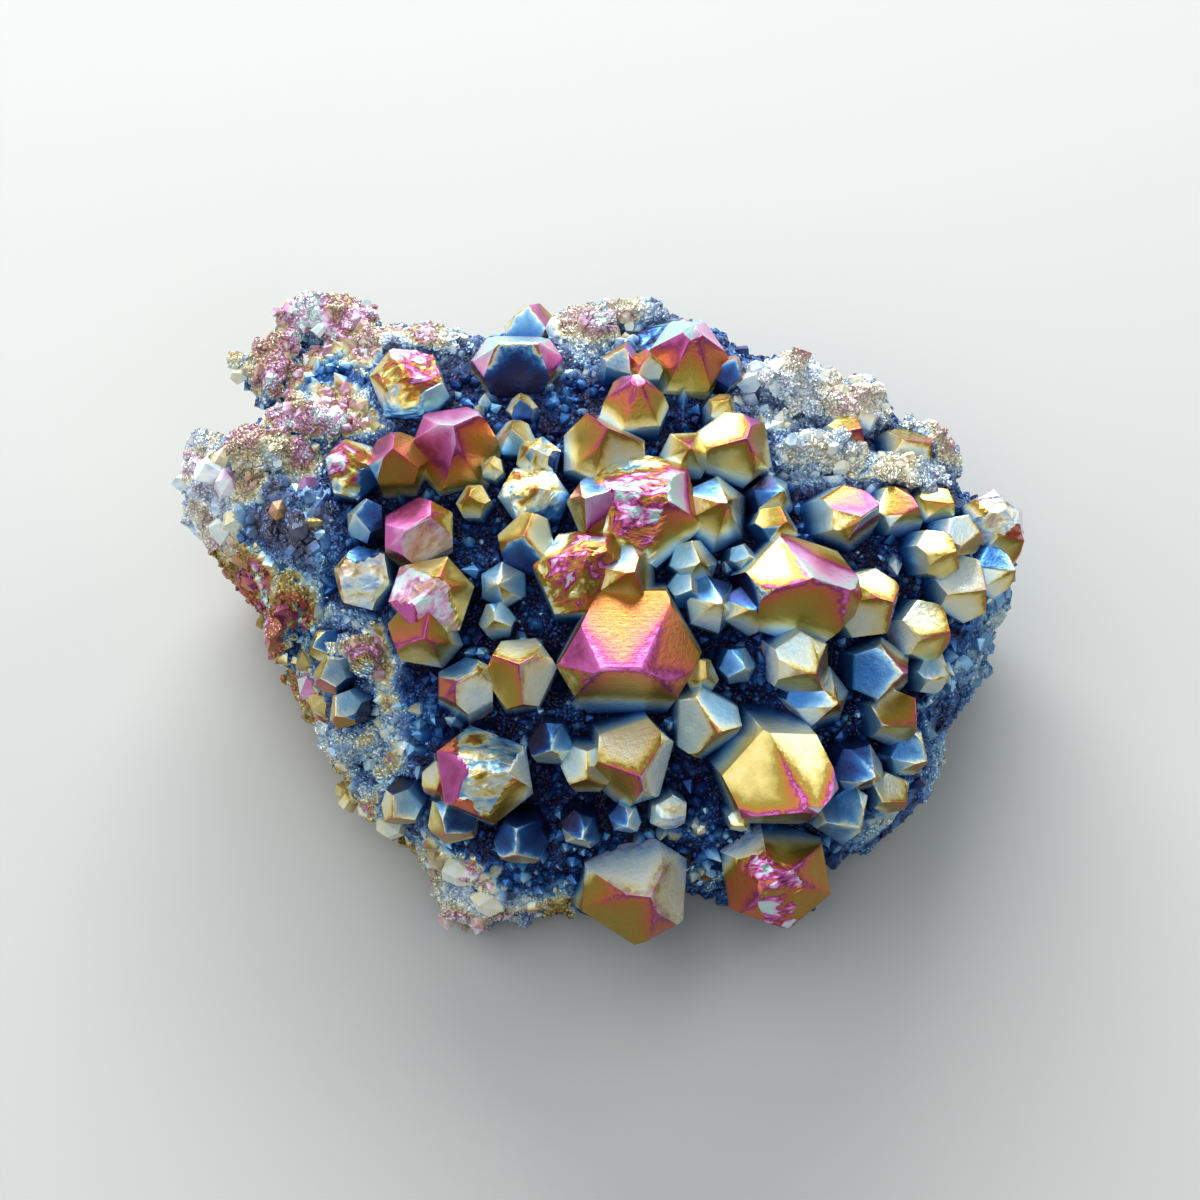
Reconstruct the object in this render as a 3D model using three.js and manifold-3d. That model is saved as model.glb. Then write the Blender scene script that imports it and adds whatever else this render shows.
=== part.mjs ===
// Aura quartz cluster: a hand-sized crust of short quartz points on a broken, sugary matrix, all one
// piece, cut flat underneath to rest on. Millimetres, +Z up, front towards -Y, origin in the middle of
// the footprint.
//
// Everything is set out on the show face: a plane through FACE_MIDDLE that looks forwards and up. On it
// "across" runs to the right, "up" runs up the face, and "out" leaves it at a right angle.
import * as THREE from "three";
import { mergeVertices } from "three/addons/utils/BufferGeometryUtils.js";
import Module from "manifold-3d";

const wasm = await Module();
wasm.setup();

const DEG = Math.PI / 180;

// ---- Driving dimensions, mm and degrees ----
const FACE_TILT = 60 * DEG; // how far above level the show face looks
const FACE_MIDDLE = new THREE.Vector3(0.2, 1.8, 10); // sets the footprint about the origin
const FLOOR_RISE = 15.5; // the matrix dome's height over the show face, between the crystals
const TIP_RISE = 21; // the dome that an ordinary crystal's tip touches
const TIP_OVERHANG = 3.5; // how far that dome reaches past the matrix rim
const DOME_POWER = 2.3; // above 2 the dome is flatter on top and steeper at the rim
const DOME_ROUNDING = 0.55;
const FACE_SHEAR = 0.24; // the rim lies this much further back for each mm up the face
const FOCUS = [-3, 0, -20]; // across, up, out: the point that the crystals radiate from
const QUARTZ_SLOPE = Math.tan(51.8 * DEG); // a rhombohedral face against the plane across the crystal
const WALL_SWELL = 0.02; // how far the wall bulges half way down, as a share
const WALL_BREAKS = 0.07; // how far its broken faces stand in and out, as a share
const BASE_TAPER = 0.2; // how much smaller the base is than the rim, as a share

// The matrix rim on the show face, [across, up], anticlockwise from the right.
const RIM = [
  [33.2, 8.0], [28.6, 10.0], [27.4, 13.6], [23.6, 15.8], [19.4, 19.2], [15.6, 20.2], [11.4, 21.2],
  [9.2, 23.0], [6.6, 24.2], [0.2, 24.2], [-2.4, 22.2], [-6.0, 23.8], [-9.0, 22.6], [-11.6, 22.8],
  [-18.4, 22.8], [-20.4, 24.0], [-24.6, 22.4], [-27.8, 20.8], [-27.4, 16.4], [-30.0, 14.0],
  [-33.0, 13.0], [-32.6, 8.6], [-29.0, 3.6], [-26.6, -0.4], [-24.2, -6.0], [-21.8, -10.0],
  [-20.0, -13.8], [-16.0, -17.8], [-12.4, -21.6], [-8.6, -24.2], [-3.6, -23.2], [1.0, -22.6],
  [7.0, -21.8], [12.0, -21.6], [16.0, -20.0], [21.4, -18.4], [25.6, -13.5], [27.0, -8.0],
  [31.2, -1.8], [32.8, 3.4],
];

// Ways a crystal ends: how far below the tip each pyramid face starts, as a share of its half width.
const EVEN = [0, 0.06, 0.03, 0.1, 0, 0.05]; // a six-sided point
const CHISEL = [0.42, 0.03, 0.36, 0.45, 0.03, 0.4]; // two opposite faces that meet in a ridge
const WEDGE = [0.18, 0.03, 0.38, 0.45, 0.03, 0.4]; // the same, with one end drawn in
const SLANTED = [0.6, 0.03, 0.2, 0.5, 0.03, 0.5]; // the same, with a third face biting into the ridge
const SHIELD = [0.35, 0.5, 0.3, 0.06, 0.02, 0.15]; // one big face below the tip
const RIDGED = [0, 0, 0.5, 0.12, 0.3, 0.4]; // two big faces that share a long edge
const CHIPPED = [0.2, 0.14, 0.26, 0.18, 0.28, 0.12]; // the tip broken off

// The crystals that give the cluster its look, from the top of the face to the bottom, left to right.
// across, up: the tip on the show face. width: across the corners. proud: the tip over the tip dome.
// twist: the way its first pyramid face looks, degrees anticlockwise from across. tilt: the slope of its
// axis, [across, up]; left out, it leans away from FOCUS. faces: how far below the tip each of the six
// pyramid faces starts, as a share of the crystal's half width; left out, every second one starts lower.
const CRYSTALS = [
  { across: -6.2, up: 25.2, width: 5.0, proud: -1.5, twist: 10 },
  { across: 6.6, up: 24.0, width: 7.4, proud: -1.7, twist: 25, faces: CHIPPED },
  { across: -7.0, up: 21.8, width: 7.6, proud: 0.6, twist: 30, tilt: [0, 0.6], faces: CHISEL },
  { across: 1.6, up: 21.4, width: 3.0, proud: 0, twist: 15 },
  { across: 3.7, up: 20.8, width: 3.0, proud: -0.4, twist: 40 },
  { across: 6.9, up: 22.0, width: 6.6, proud: 1.0, twist: 30, tilt: [0.1, 0.6], faces: SHIELD },
  { across: 10.6, up: 20.6, width: 2.8, proud: -0.6, twist: 5 },
  { across: -16.4, up: 19.4, width: 6.4, proud: 0.2, twist: 20, tilt: [-0.2, 0.3], faces: CHIPPED },
  { across: 2.6, up: 18.2, width: 5.2, proud: 0.2, twist: 40, tilt: [0.1, 0.8], faces: SHIELD },
  { across: 9.9, up: 17.2, width: 2.6, proud: -1.2, twist: 8 },
  { across: -12.0, up: 15.0, width: 7.2, proud: 1.4, twist: -20, tilt: [0, 0.4] },
  { across: -7.4, up: 14.8, width: 3.0, proud: -1.4, twist: 22 },
  { across: 0.2, up: 14.8, width: 6.4, proud: 0.4, twist: 60, tilt: [0.1, 0.6] },
  { across: 11.2, up: 14.0, width: 6.4, proud: 0.8, twist: 130, tilt: [0.2, 0.3] },
  { across: 20.6, up: 15.0, width: 3.6, proud: -1.0, twist: 18 },
  { across: 26.4, up: 13.8, width: 5.0, proud: -0.8, twist: 0 },
  { across: -16.8, up: 13.2, width: 4.8, proud: 0.4, twist: 30, tilt: [-0.1, 0.4] },
  { across: -5.4, up: 13.2, width: 3.6, proud: -1.2, twist: 50, faces: CHIPPED },
  { across: 6.8, up: 13.2, width: 4.2, proud: -0.8, twist: 35, tilt: [0.1, 0.3], faces: EVEN },
  { across: -20.2, up: 12.4, width: 4.6, proud: 0.2, twist: 14, tilt: [0, 0.3], faces: CHIPPED },
  { across: -6.0, up: 10.0, width: 5.4, proud: -1.0, twist: 33, faces: CHIPPED },
  { across: 2.8, up: 9.8, width: 9.4, proud: 2.0, twist: 12, tilt: [0, 0.3], faces: CHIPPED },
  { across: -1.6, up: 9.2, width: 4.8, proud: 0.6, twist: 80, tilt: [-0.3, 0.2] },
  { across: 9.6, up: 8.8, width: 6.2, proud: -0.4, twist: 0, faces: EVEN },
  { across: 14.2, up: 9.8, width: 3.8, proud: -1.0, twist: 17, faces: EVEN },
  { across: 14.4, up: 7.4, width: 3.4, proud: -1.4, twist: 40 },
  { across: -10.7, up: 9.4, width: 2.6, proud: -1.4, twist: 26 },
  { across: 21.0, up: 8.2, width: 5.6, proud: 0.2, twist: 70, tilt: [0.8, 0.2], faces: CHISEL },
  { across: 25.0, up: 8.6, width: 4.2, proud: -0.2, twist: 38 },
  { across: 28.0, up: 9.0, width: 3.6, proud: -0.4, twist: 22 },
  { across: 32.8, up: 8.2, width: 5.8, proud: -0.4, twist: 6, tilt: [0.6, 0.3], faces: CHIPPED },
  { across: 30.0, up: 6.6, width: 3.4, proud: 0.2, twist: 52 },
  { across: -19.8, up: 8.0, width: 3.4, proud: -1.0, twist: 0 },
  { across: -14.8, up: 7.2, width: 5.8, proud: 0.6, twist: 60, tilt: [0, 0.25], faces: CHISEL },
  { across: -6.4, up: 6.2, width: 4.8, proud: -0.4, twist: 12 },
  { across: -1.6, up: 4.8, width: 7.4, proud: 1.4, twist: 25, tilt: [0, 0.35], faces: CHIPPED },
  { across: 2.3, up: 3.4, width: 5.4, proud: 0.2, twist: 8, tilt: [0.3, 0.2] },
  { across: 7.5, up: 4.2, width: 3.6, proud: -1.6, twist: 45 },
  { across: 17.0, up: 2.6, width: 9.0, proud: 1.6, twist: 20, tilt: [0.4, 0.1], faces: SLANTED },
  { across: 28.0, up: 5.0, width: 4.0, proud: 0.2, twist: 150, tilt: [0.9, 0.1] },
  { across: 33.0, up: 3.6, width: 4.0, proud: -0.8, twist: 31 },
  { across: 33.8, up: 6.0, width: 4.0, proud: -1.2, twist: 3 },
  { across: -20.4, up: 3.2, width: 5.0, proud: -0.4, twist: 9, faces: CHIPPED },
  { across: -13.6, up: 1.8, width: 7.0, proud: 1.2, twist: 42, tilt: [0, 0.1], faces: CHIPPED },
  { across: -8.4, up: 2.4, width: 3.8, proud: -1.8, twist: 0, faces: EVEN },
  { across: 6.8, up: 2.0, width: 2.8, proud: -2.2, twist: 27 },
  { across: 30.4, up: 2.0, width: 5.4, proud: 0, twist: 140, tilt: [0.9, 0] },
  { across: 22.8, up: 1.0, width: 5.6, proud: 0.6, twist: 110, tilt: [0.7, 0] },
  { across: 9.2, up: 0.9, width: 4.6, proud: -1.6, twist: 16, faces: EVEN },
  { across: 11.9, up: 0.4, width: 3.8, proud: -1.8, twist: 4 },
  { across: -14.2, up: -1.8, width: 5.8, proud: 0.4, twist: 20, tilt: [0, -0.1] },
  { across: -8.7, up: -0.4, width: 3.0, proud: -2.0, twist: 37 },
  { across: 27.4, up: -1.4, width: 4.8, proud: 0.2, twist: 145, tilt: [0.9, 0] },
  { across: 1.8, up: -4.2, width: 11.0, proud: 2.0, twist: 30, tilt: [0, -0.2], faces: WEDGE },
  { across: -6.7, up: -3.8, width: 5.8, proud: 0.2, twist: 95, tilt: [0, 0.2] },
  { across: 11.0, up: -4.2, width: 2.8, proud: -2.0, twist: 40 },
  { across: 16.6, up: -4.6, width: 5.2, proud: 0.4, twist: 130, tilt: [0.4, -0.3] },
  { across: 23.6, up: -4.6, width: 5.4, proud: -0.2, twist: 70, tilt: [0.7, -0.1] },
  { across: 27.4, up: -4.8, width: 3.4, proud: -0.6, twist: 33 },
  { across: -22.6, up: -5.0, width: 3.0, proud: 0, twist: 12 },
  { across: -10.8, up: -4.8, width: 4.6, proud: -0.4, twist: 60, tilt: [0, 0.3], faces: CHISEL },
  { across: 18.4, up: -7.0, width: 5.4, proud: -0.8, twist: 50, faces: EVEN },
  { across: -21.4, up: -8.0, width: 3.0, proud: 0, twist: 40 },
  { across: 8.9, up: -9.2, width: 5.6, proud: -0.6, twist: 65, tilt: [0.3, -0.3] },
  { across: 24.7, up: -8.6, width: 4.6, proud: 0, twist: 18 },
  { across: -4.2, up: -10.6, width: 3.6, proud: -1.4, twist: 25 },
  { across: -9.2, up: -12.0, width: 7.8, proud: 1.2, twist: 10, tilt: [0.1, 0.1], faces: CHIPPED },
  { across: 25.6, up: -11.6, width: 3.8, proud: -0.6, twist: 36 },
  { across: 2.8, up: -12.6, width: 6.8, proud: 0.4, twist: 110, tilt: [0.2, -0.3] },
  { across: 21.4, up: -12.8, width: 4.2, proud: -0.6, twist: 47 },
  { across: -1.4, up: -12.8, width: 4.0, proud: -0.8, twist: 30 },
  { across: -13.3, up: -13.8, width: 3.4, proud: -0.4, twist: 8 },
  { across: 15.8, up: -15.0, width: 9.2, proud: 1.8, twist: 88, tilt: [0.5, -0.6], faces: RIDGED },
  { across: 24.0, up: -14.8, width: 3.4, proud: -0.6, twist: 19 },
  { across: 5.4, up: -16.2, width: 3.0, proud: -1.6, twist: 0, faces: CHIPPED },
  { across: -16.8, up: -16.0, width: 3.4, proud: -0.4, twist: 33 },
  { across: 1.8, up: -16.6, width: 2.6, proud: -1.4, twist: 21 },
  { across: 20.2, up: -16.8, width: 4.8, proud: 0, twist: 6 },
  { across: -12.6, up: -17.2, width: 4.0, proud: 0, twist: 44 },
  { across: -1.8, up: -17.6, width: 3.2, proud: -1.0, twist: 14 },
  { across: -7.0, up: -18.8, width: 4.2, proud: -0.2, twist: 29 },
  { across: 13.6, up: -20.8, width: 9.0, proud: 1.6, twist: 10, tilt: [0, 0], faces: CHIPPED },
  { across: 3.6, up: -22.2, width: 9.2, proud: 1.4, twist: 0, tilt: [0.2, -0.1] },
];

// Broken lumps of matrix that stand up: the middle's across, up and out, and the half sizes the same way.
const LUMPS = [
  { middle: [-22.6, 23.6, -3.5], half: [3.8, 2.8, 3.2] },
  { middle: [-26.8, 19.4, -1.0], half: [2.4, 3.2, 2.6] },
  { middle: [-14.8, 21.6, 0], half: [4.6, 2.6, 3.4] },
  { middle: [-1.8, 21.4, 0], half: [3.0, 3.2, 3.0] },
  { middle: [2.0, 23.4, -2.5], half: [4.2, 2.2, 3.0] },
  { middle: [14.4, 18.2, 2.5], half: [4.0, 3.0, 3.6] },
  { middle: [19.4, 16.6, 2.0], half: [4.2, 3.0, 3.4] },
  { middle: [25.2, 13.2, 1.6], half: [3.6, 2.8, 3.2] },
  { middle: [16.8, 13.0, 6.6], half: [4.6, 2.2, 3.4] },
  { middle: [22.6, 11.4, 5.5], half: [4.8, 2.2, 3.2] },
  { middle: [-31.4, 10.6, -0.6], half: [3.2, 4.2, 3.2] },
  { middle: [-26.4, 12.6, 4.0], half: [5.0, 3.0, 3.4] },
  { middle: [-22.6, 15.4, 5.0], half: [4.6, 2.0, 2.8] },
  { middle: [-24.4, 7.2, 6.4], half: [3.2, 3.8, 3.4] },
  { middle: [-25.2, 1.0, 4.6], half: [2.2, 4.6, 3.4] },
  { middle: [-19.4, -3.8, 8.4], half: [3.4, 3.2, 3.2] },
  { middle: [-18.6, -9.4, 8.6], half: [3.4, 3.2, 3.4] },
  { middle: [-16.0, -14.6, 8.6], half: [3.0, 2.8, 3.0] },
  { middle: [-10.2, -21.8, 6.4], half: [3.6, 3.4, 3.8] },
  { middle: [2.6, -21.8, 4.4], half: [3.6, 2.8, 4.8] },
  { middle: [14.0, -21.2, 4.6], half: [3.4, 2.6, 4.8] },
];

// Small points that fill the hollows between the crystals above.
const FILL_COUNT = 40;
const FILL_WIDTH = [1.6, 2.8];
const FILL_SINK = [1.2, 2.8]; // how far below the tip dome they end
const FILL_EDGE = 0.9; // they stay inside this share of the rim
const FILL_GAP = 0.42; // and this share of the two widths away from a named crystal
const GOLDEN_ANGLE = 137.508 * DEG;

const FLATNESS = 0.05; // points that lie this close to a flat face are left out
const MATRIX_SLICES = 32; // round the matrix
const DOME_ROWS = 8; // from the middle of the dome to the rim
const WALL_ROWS = 4; // from the rim to the base

// ---- The show face ----
const ACROSS = new THREE.Vector3(1, 0, 0);
const UP = new THREE.Vector3(0, Math.sin(FACE_TILT), Math.cos(FACE_TILT));
const OUT = new THREE.Vector3(0, -Math.cos(FACE_TILT), Math.sin(FACE_TILT));

function fromFace(across, up, out) {
  return FACE_MIDDLE.clone()
    .addScaledVector(ACROSS, across)
    .addScaledVector(UP, up)
    .addScaledVector(OUT, out);
}

// A repeatable number from 0 to 1 for each pair of whole numbers.
function chance(index, use) {
  const wave = Math.sin(index * 12.9898 + use * 78.233) * 43758.5453;
  return wave - Math.floor(wave);
}

// The rim's distance from the middle of the face in a direction, straight between the rim's points.
const rimAngles = RIM.map(([across, up]) => Math.atan2(up, across));
const rimRadii = RIM.map(([across, up]) => Math.hypot(across, up));

function rimRadius(angle) {
  const turn = 2 * Math.PI;
  for (let i = 0; i < RIM.length; i++) {
    const next = (i + 1) % RIM.length;
    const span = (rimAngles[next] - rimAngles[i] + 2 * turn) % turn;
    const along = (angle - rimAngles[i] + 2 * turn) % turn;
    if (along <= span) return THREE.MathUtils.lerp(rimRadii[i], rimRadii[next], along / span);
  }
  return rimRadii[0];
}

// Height over the show face of a dome that rises from the rim, or from an overhang past it.
function domeOut(across, up, rise, overhang) {
  const reach = rimRadius(Math.atan2(up, across)) + overhang;
  const share = Math.min(Math.hypot(across, up) / reach, 1);
  return rise * (1 - share ** DOME_POWER) ** DOME_ROUNDING - FACE_SHEAR * up;
}

// Gentle lumps and hollows in the matrix: two crossed sets of waves, from -1 to 1.
function lumpiness(point) {
  const broad = Math.sin(0.55 * point.x + 0.8) * Math.sin(0.6 * point.y + 0.35 * point.z - 0.5);
  const narrow = Math.sin(1.15 * point.x - 0.9 * point.z) * Math.sin(1.3 * point.y + 1.1);
  return 0.6 * broad + 0.4 * narrow;
}

// ---- Solids ----
function solid(geometry) {
  const bare = geometry.clone();
  bare.deleteAttribute("normal");
  bare.deleteAttribute("uv");
  const merged = mergeVertices(bare, 1e-4);
  const mesh = new wasm.Mesh({
    numProp: 3,
    vertProperties: merged.attributes.position.array,
    triVerts: new Uint32Array(merged.index.array),
  });
  return new wasm.Manifold(mesh);
}

function geometryFrom(points, triangles) {
  return new THREE.BufferGeometry()
    .setAttribute("position", new THREE.Float32BufferAttribute(points.flatMap((p) => [p.x, p.y, p.z]), 3))
    .setIndex(triangles.flat());
}

// Rings of points with the same count, joined to each other and to a point at each end.
function closedRings(first, rings, last) {
  const count = rings[0].length;
  const points = [first, ...rings.flat(), last];
  const end = points.length - 1;
  const triangles = [];
  for (let i = 0; i < count; i++) {
    const next = (i + 1) % count;
    triangles.push([0, 1 + i, 1 + next]);
    for (let ring = 0; ring + 1 < rings.length; ring++) {
      const here = 1 + ring * count;
      const below = here + count;
      triangles.push([here + i, below + i, below + next], [here + i, below + next, here + next]);
    }
    triangles.push([end, end - count + next, end - count + i]);
  }
  return geometryFrom(points, triangles);
}

// The matrix: a dome over the show face, a rough wall from its rim down to the base, and a flat base.
function matrixBody() {
  const LUMP_HEIGHT = 0.9;
  const rings = [];
  const angles = Array.from({ length: MATRIX_SLICES }, (_, i) => (i * 2 * Math.PI) / MATRIX_SLICES);
  const domePoint = (angle, share) => {
    const radius = rimRadius(angle) * share;
    const across = radius * Math.cos(angle);
    const up = radius * Math.sin(angle);
    const point = fromFace(across, up, domeOut(across, up, FLOOR_RISE, 0));
    return point.addScaledVector(OUT, LUMP_HEIGHT * lumpiness(point) * (1 - share ** 4));
  };
  for (let row = 1; row <= DOME_ROWS; row++) {
    const share = Math.sin(((row / DOME_ROWS) * Math.PI) / 2);
    rings.push(angles.map((angle) => domePoint(angle, share)));
  }
  const rim = rings[rings.length - 1];
  for (let row = 1; row <= WALL_ROWS; row++) {
    const drop = row / WALL_ROWS;
    rings.push(
      rim.map((point, i) => {
        const broken = WALL_BREAKS * (chance(i, 50 + row) - 0.5);
        const spread = 1 + WALL_SWELL * Math.sin(drop * Math.PI) - BASE_TAPER * drop ** 2 + broken;
        return new THREE.Vector3(point.x * spread, point.y * spread, point.z * (1 - drop));
      }),
    );
  }
  return solid(closedRings(domePoint(0, 0), rings, new THREE.Vector3(0, 0, 0)));
}

// A quartz point, tip at the origin and body towards -Z. Each level's section is a hexagon whose sides
// lie at distance min(prism, slope) from the axis. Every second pyramid face starts below the tip.
function crystalPoint(index, width, length, faces) {
  const apothem = 0.466 * width;
  const prism = [];
  const start = [];
  for (let k = 0; k < 6; k++) {
    const lower = k % 2 ? 0.1 + 0.5 * chance(index, 10 + k) : 0;
    prism.push(apothem * (0.86 + 0.24 * chance(index, k)));
    start.push(apothem * QUARTZ_SLOPE * (faces ? faces[k] : lower));
  }
  const sideDistances = (depth) => {
    const d = prism.map((limit, k) => Math.min(limit, Math.max(depth + start[k], 0) / QUARTZ_SLOPE));
    for (const k of [1, 3, 5, 0, 2, 4]) d[k] = Math.min(d[k], d[(k + 5) % 6] + d[(k + 1) % 6]);
    return d;
  };
  const section = (depth) => {
    const d = sideDistances(depth);
    return d.map((mine, k) => {
      const next = d[(k + 1) % 6];
      const angle = k * 60 * DEG;
      const sideways = (next - mine * Math.cos(60 * DEG)) / Math.sin(60 * DEG);
      return new THREE.Vector3(
        mine * Math.cos(angle) - sideways * Math.sin(angle),
        mine * Math.sin(angle) + sideways * Math.cos(angle),
        -depth,
      );
    });
  };
  const shoulders = prism.map((limit, k) => limit * QUARTZ_SLOPE - start[k]);
  const flatTop = Math.min(...start) > 0 ? [0] : [];
  const depths = [...flatTop, ...shoulders, length].sort((a, b) => a - b);
  const rings = depths.map(section);
  const foot = new THREE.Vector3(0, 0, -length);
  return closedRings(new THREE.Vector3(0, 0, 0), rings, foot);
}

// A crystal on the cluster: its tip on the tip dome, its axis away from FOCUS.
function placedCrystal(index, { across, up, width, proud, twist, tilt, faces }) {
  const out = domeOut(across, up, TIP_RISE, TIP_OVERHANG) + proud;
  const tip = fromFace(across, up, out);
  const away = out - FOCUS[2];
  const slope = tilt ?? [(across - FOCUS[0]) / away, (up - FOCUS[1]) / away];
  const axis = new THREE.Vector3()
    .addScaledVector(ACROSS, slope[0])
    .addScaledVector(UP, slope[1])
    .add(OUT)
    .normalize();
  const turn = new THREE.Quaternion()
    .setFromUnitVectors(new THREE.Vector3(0, 0, 1), axis)
    .multiply(new THREE.Quaternion().setFromAxisAngle(new THREE.Vector3(0, 0, 1), twist * DEG));
  const length = 4.2 + 0.7 * width;
  const place = new THREE.Matrix4().compose(tip, turn, new THREE.Vector3(1, 1, 1));
  return solid(crystalPoint(index, width, length, faces).applyMatrix4(place)).asOriginal().simplify(FLATNESS);
}

// Small points on a sunflower spiral, where no named crystal and no lump is in the way.
function fillCrystals() {
  const made = [];
  for (let i = 0; i < FILL_COUNT; i++) {
    const angle = i * GOLDEN_ANGLE;
    const radius = rimRadius(angle) * FILL_EDGE * Math.sqrt((i + 0.5) / FILL_COUNT);
    const across = radius * Math.cos(angle) + chance(i, 31) - 0.5;
    const up = radius * Math.sin(angle) + chance(i, 32) - 0.5;
    const width = THREE.MathUtils.lerp(FILL_WIDTH[0], FILL_WIDTH[1], chance(i, 33));
    const proud = -THREE.MathUtils.lerp(FILL_SINK[0], FILL_SINK[1], chance(i, 34));
    const apart = (other) => Math.hypot(across - other.across, up - other.up);
    const free =
      CRYSTALS.every((crystal) => apart(crystal) > FILL_GAP * (crystal.width + width)) &&
      LUMPS.every(({ middle, half }) => Math.hypot(across - middle[0], up - middle[1]) > half[0]);
    if (free) made.push({ across, up, width, proud, twist: 60 * chance(i, 35) });
  }
  return made;
}

// A faceted lump of broken matrix.
function lump(index, { middle, half }) {
  const ball = new THREE.IcosahedronGeometry(1, 1);
  ball.deleteAttribute("normal");
  ball.deleteAttribute("uv");
  const geometry = mergeVertices(ball, 1e-3);
  const points = [];
  for (let i = 0; i < geometry.attributes.position.count; i++) {
    const point = new THREE.Vector3().fromBufferAttribute(geometry.attributes.position, i);
    point.multiplyScalar(0.72 + 0.45 * chance(index * 50 + i, 41));
    const [across, up, out] = point.toArray().map((share, axis) => middle[axis] + share * half[axis]);
    points.push(fromFace(across, up, out));
  }
  return solid(geometry.setFromPoints(points));
}

function clusterGeometry() {
  const crystals = [...CRYSTALS, ...fillCrystals()].map((spec, i) => placedCrystal(i, spec));
  const lumps = LUMPS.map((spec, i) => lump(i, spec));
  const grown = [...crystals, ...lumps].reduce((whole, piece) => whole.add(piece), matrixBody());
  const below = solid(new THREE.BoxGeometry(200, 200, 50).translate(0, 0, -25));
  const mesh = grown.subtract(below).simplify(FLATNESS).getMesh();
  const position = new Float32Array(mesh.vertProperties);
  return new THREE.BufferGeometry()
    .setAttribute("position", new THREE.BufferAttribute(position, mesh.numProp))
    .setIndex(new THREE.BufferAttribute(new Uint32Array(mesh.triVerts), 1));
}

// Titanium-coated quartz: a thin metal film, gold to violet on the points and blue in the hollows.
const auraQuartz = new THREE.MeshStandardMaterial({
  color: 0x8a7a5c,
  roughness: 0.25,
  metalness: 0.9,
  flatShading: true,
});

const cluster = new THREE.Mesh(clusterGeometry(), auraQuartz);
cluster.name = "quartz_cluster";

const root = new THREE.Group();
root.add(cluster);

export default root;
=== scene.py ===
"""Aura quartz cluster: the dressed model, its stage and its camera.

The cluster is one rock. Short quartz points, a druse of smaller ones and a broken, sugary matrix all
carry one titanium film, deposited from above, which is thinnest in the hollows and thickest on the
points. A titanium film's colour follows its thickness: dark violet, blue, pale silver, gold, bronze,
magenta, violet, turquoise.

Everything is set out in millimetres on the show face, a plane that looks forwards and up: "across"
runs to the right, "up" runs up the face and "out" leaves it at a right angle.
"""

import math

import bpy
import numpy as np
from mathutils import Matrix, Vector


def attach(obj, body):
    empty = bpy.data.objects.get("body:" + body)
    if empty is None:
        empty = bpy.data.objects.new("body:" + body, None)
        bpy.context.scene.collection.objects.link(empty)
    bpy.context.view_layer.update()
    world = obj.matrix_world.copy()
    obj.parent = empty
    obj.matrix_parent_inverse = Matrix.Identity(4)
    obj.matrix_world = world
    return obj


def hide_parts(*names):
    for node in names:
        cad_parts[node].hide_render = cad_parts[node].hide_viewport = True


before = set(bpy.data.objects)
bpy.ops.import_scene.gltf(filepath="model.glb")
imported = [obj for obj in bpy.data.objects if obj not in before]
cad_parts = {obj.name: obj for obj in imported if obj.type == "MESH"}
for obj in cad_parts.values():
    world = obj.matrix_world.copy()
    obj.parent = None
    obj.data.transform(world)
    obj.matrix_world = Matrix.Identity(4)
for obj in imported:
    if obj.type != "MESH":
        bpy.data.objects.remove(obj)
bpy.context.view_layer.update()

bl_info = {
    "name": "Aura quartz cluster",
    "version": (1, 0, 0),
    "blender": (4, 5, 0),
    "location": "View3D > Sidebar > Quartz",
    "description": "Grows a coated quartz cluster from its crystals, druse and matrix",
    "category": "Add Mesh",
}

MM = 0.001

# ---- The show face and the domes over it, as in the part's source, millimetres ----
FACE_TILT = math.radians(60)
FACE_MIDDLE = np.array([0.2, 1.8, 10.0])
ACROSS = np.array([1.0, 0.0, 0.0])
UP = np.array([0.0, math.sin(FACE_TILT), math.cos(FACE_TILT)])
OUT = np.array([0.0, -math.cos(FACE_TILT), math.sin(FACE_TILT)])
FLOOR_RISE = 15.5
TIP_RISE = 21.0
TIP_OVERHANG = 3.5
DOME_POWER = 2.3
DOME_ROUNDING = 0.55
FACE_SHEAR = 0.24
FOCUS = (-3.0, 0.0, -20.0)
MATRIX_WAVES = 0.9
WALL_SWELL = 0.02
WALL_BREAKS = 0.07
BASE_TAPER = 0.2
MATRIX_SLICES = 32
WALL_ROWS = 4

# A quartz point: how steeply its pyramid falls, its half width across the flats as a share of its
# width, and the length of its body, which grows with the width.
QUARTZ_SLOPE = math.tan(math.radians(51.8))
HALF_FLATS = 0.466
BODY_LENGTH = 4.2
BODY_PER_WIDTH = 0.7

# The matrix rim on the show face, (across, up), anticlockwise from the right.
RIM = np.array([
    (33.2, 8.0), (28.6, 10.0), (27.4, 13.6), (23.6, 15.8), (19.4, 19.2), (15.6, 20.2), (11.4, 21.2),
    (9.2, 23.0), (6.6, 24.2), (0.2, 24.2), (-2.4, 22.2), (-6.0, 23.8), (-9.0, 22.6), (-11.6, 22.8),
    (-18.4, 22.8), (-20.4, 24.0), (-24.6, 22.4), (-27.8, 20.8), (-27.4, 16.4), (-30.0, 14.0),
    (-33.0, 13.0), (-32.6, 8.6), (-29.0, 3.6), (-26.6, -0.4), (-24.2, -6.0), (-21.8, -10.0),
    (-20.0, -13.8), (-16.0, -17.8), (-12.4, -21.6), (-8.6, -24.2), (-3.6, -23.2), (1.0, -22.6),
    (7.0, -21.8), (12.0, -21.6), (16.0, -20.0), (21.4, -18.4), (25.6, -13.5), (27.0, -8.0),
    (31.2, -1.8), (32.8, 3.4),
])

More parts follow.
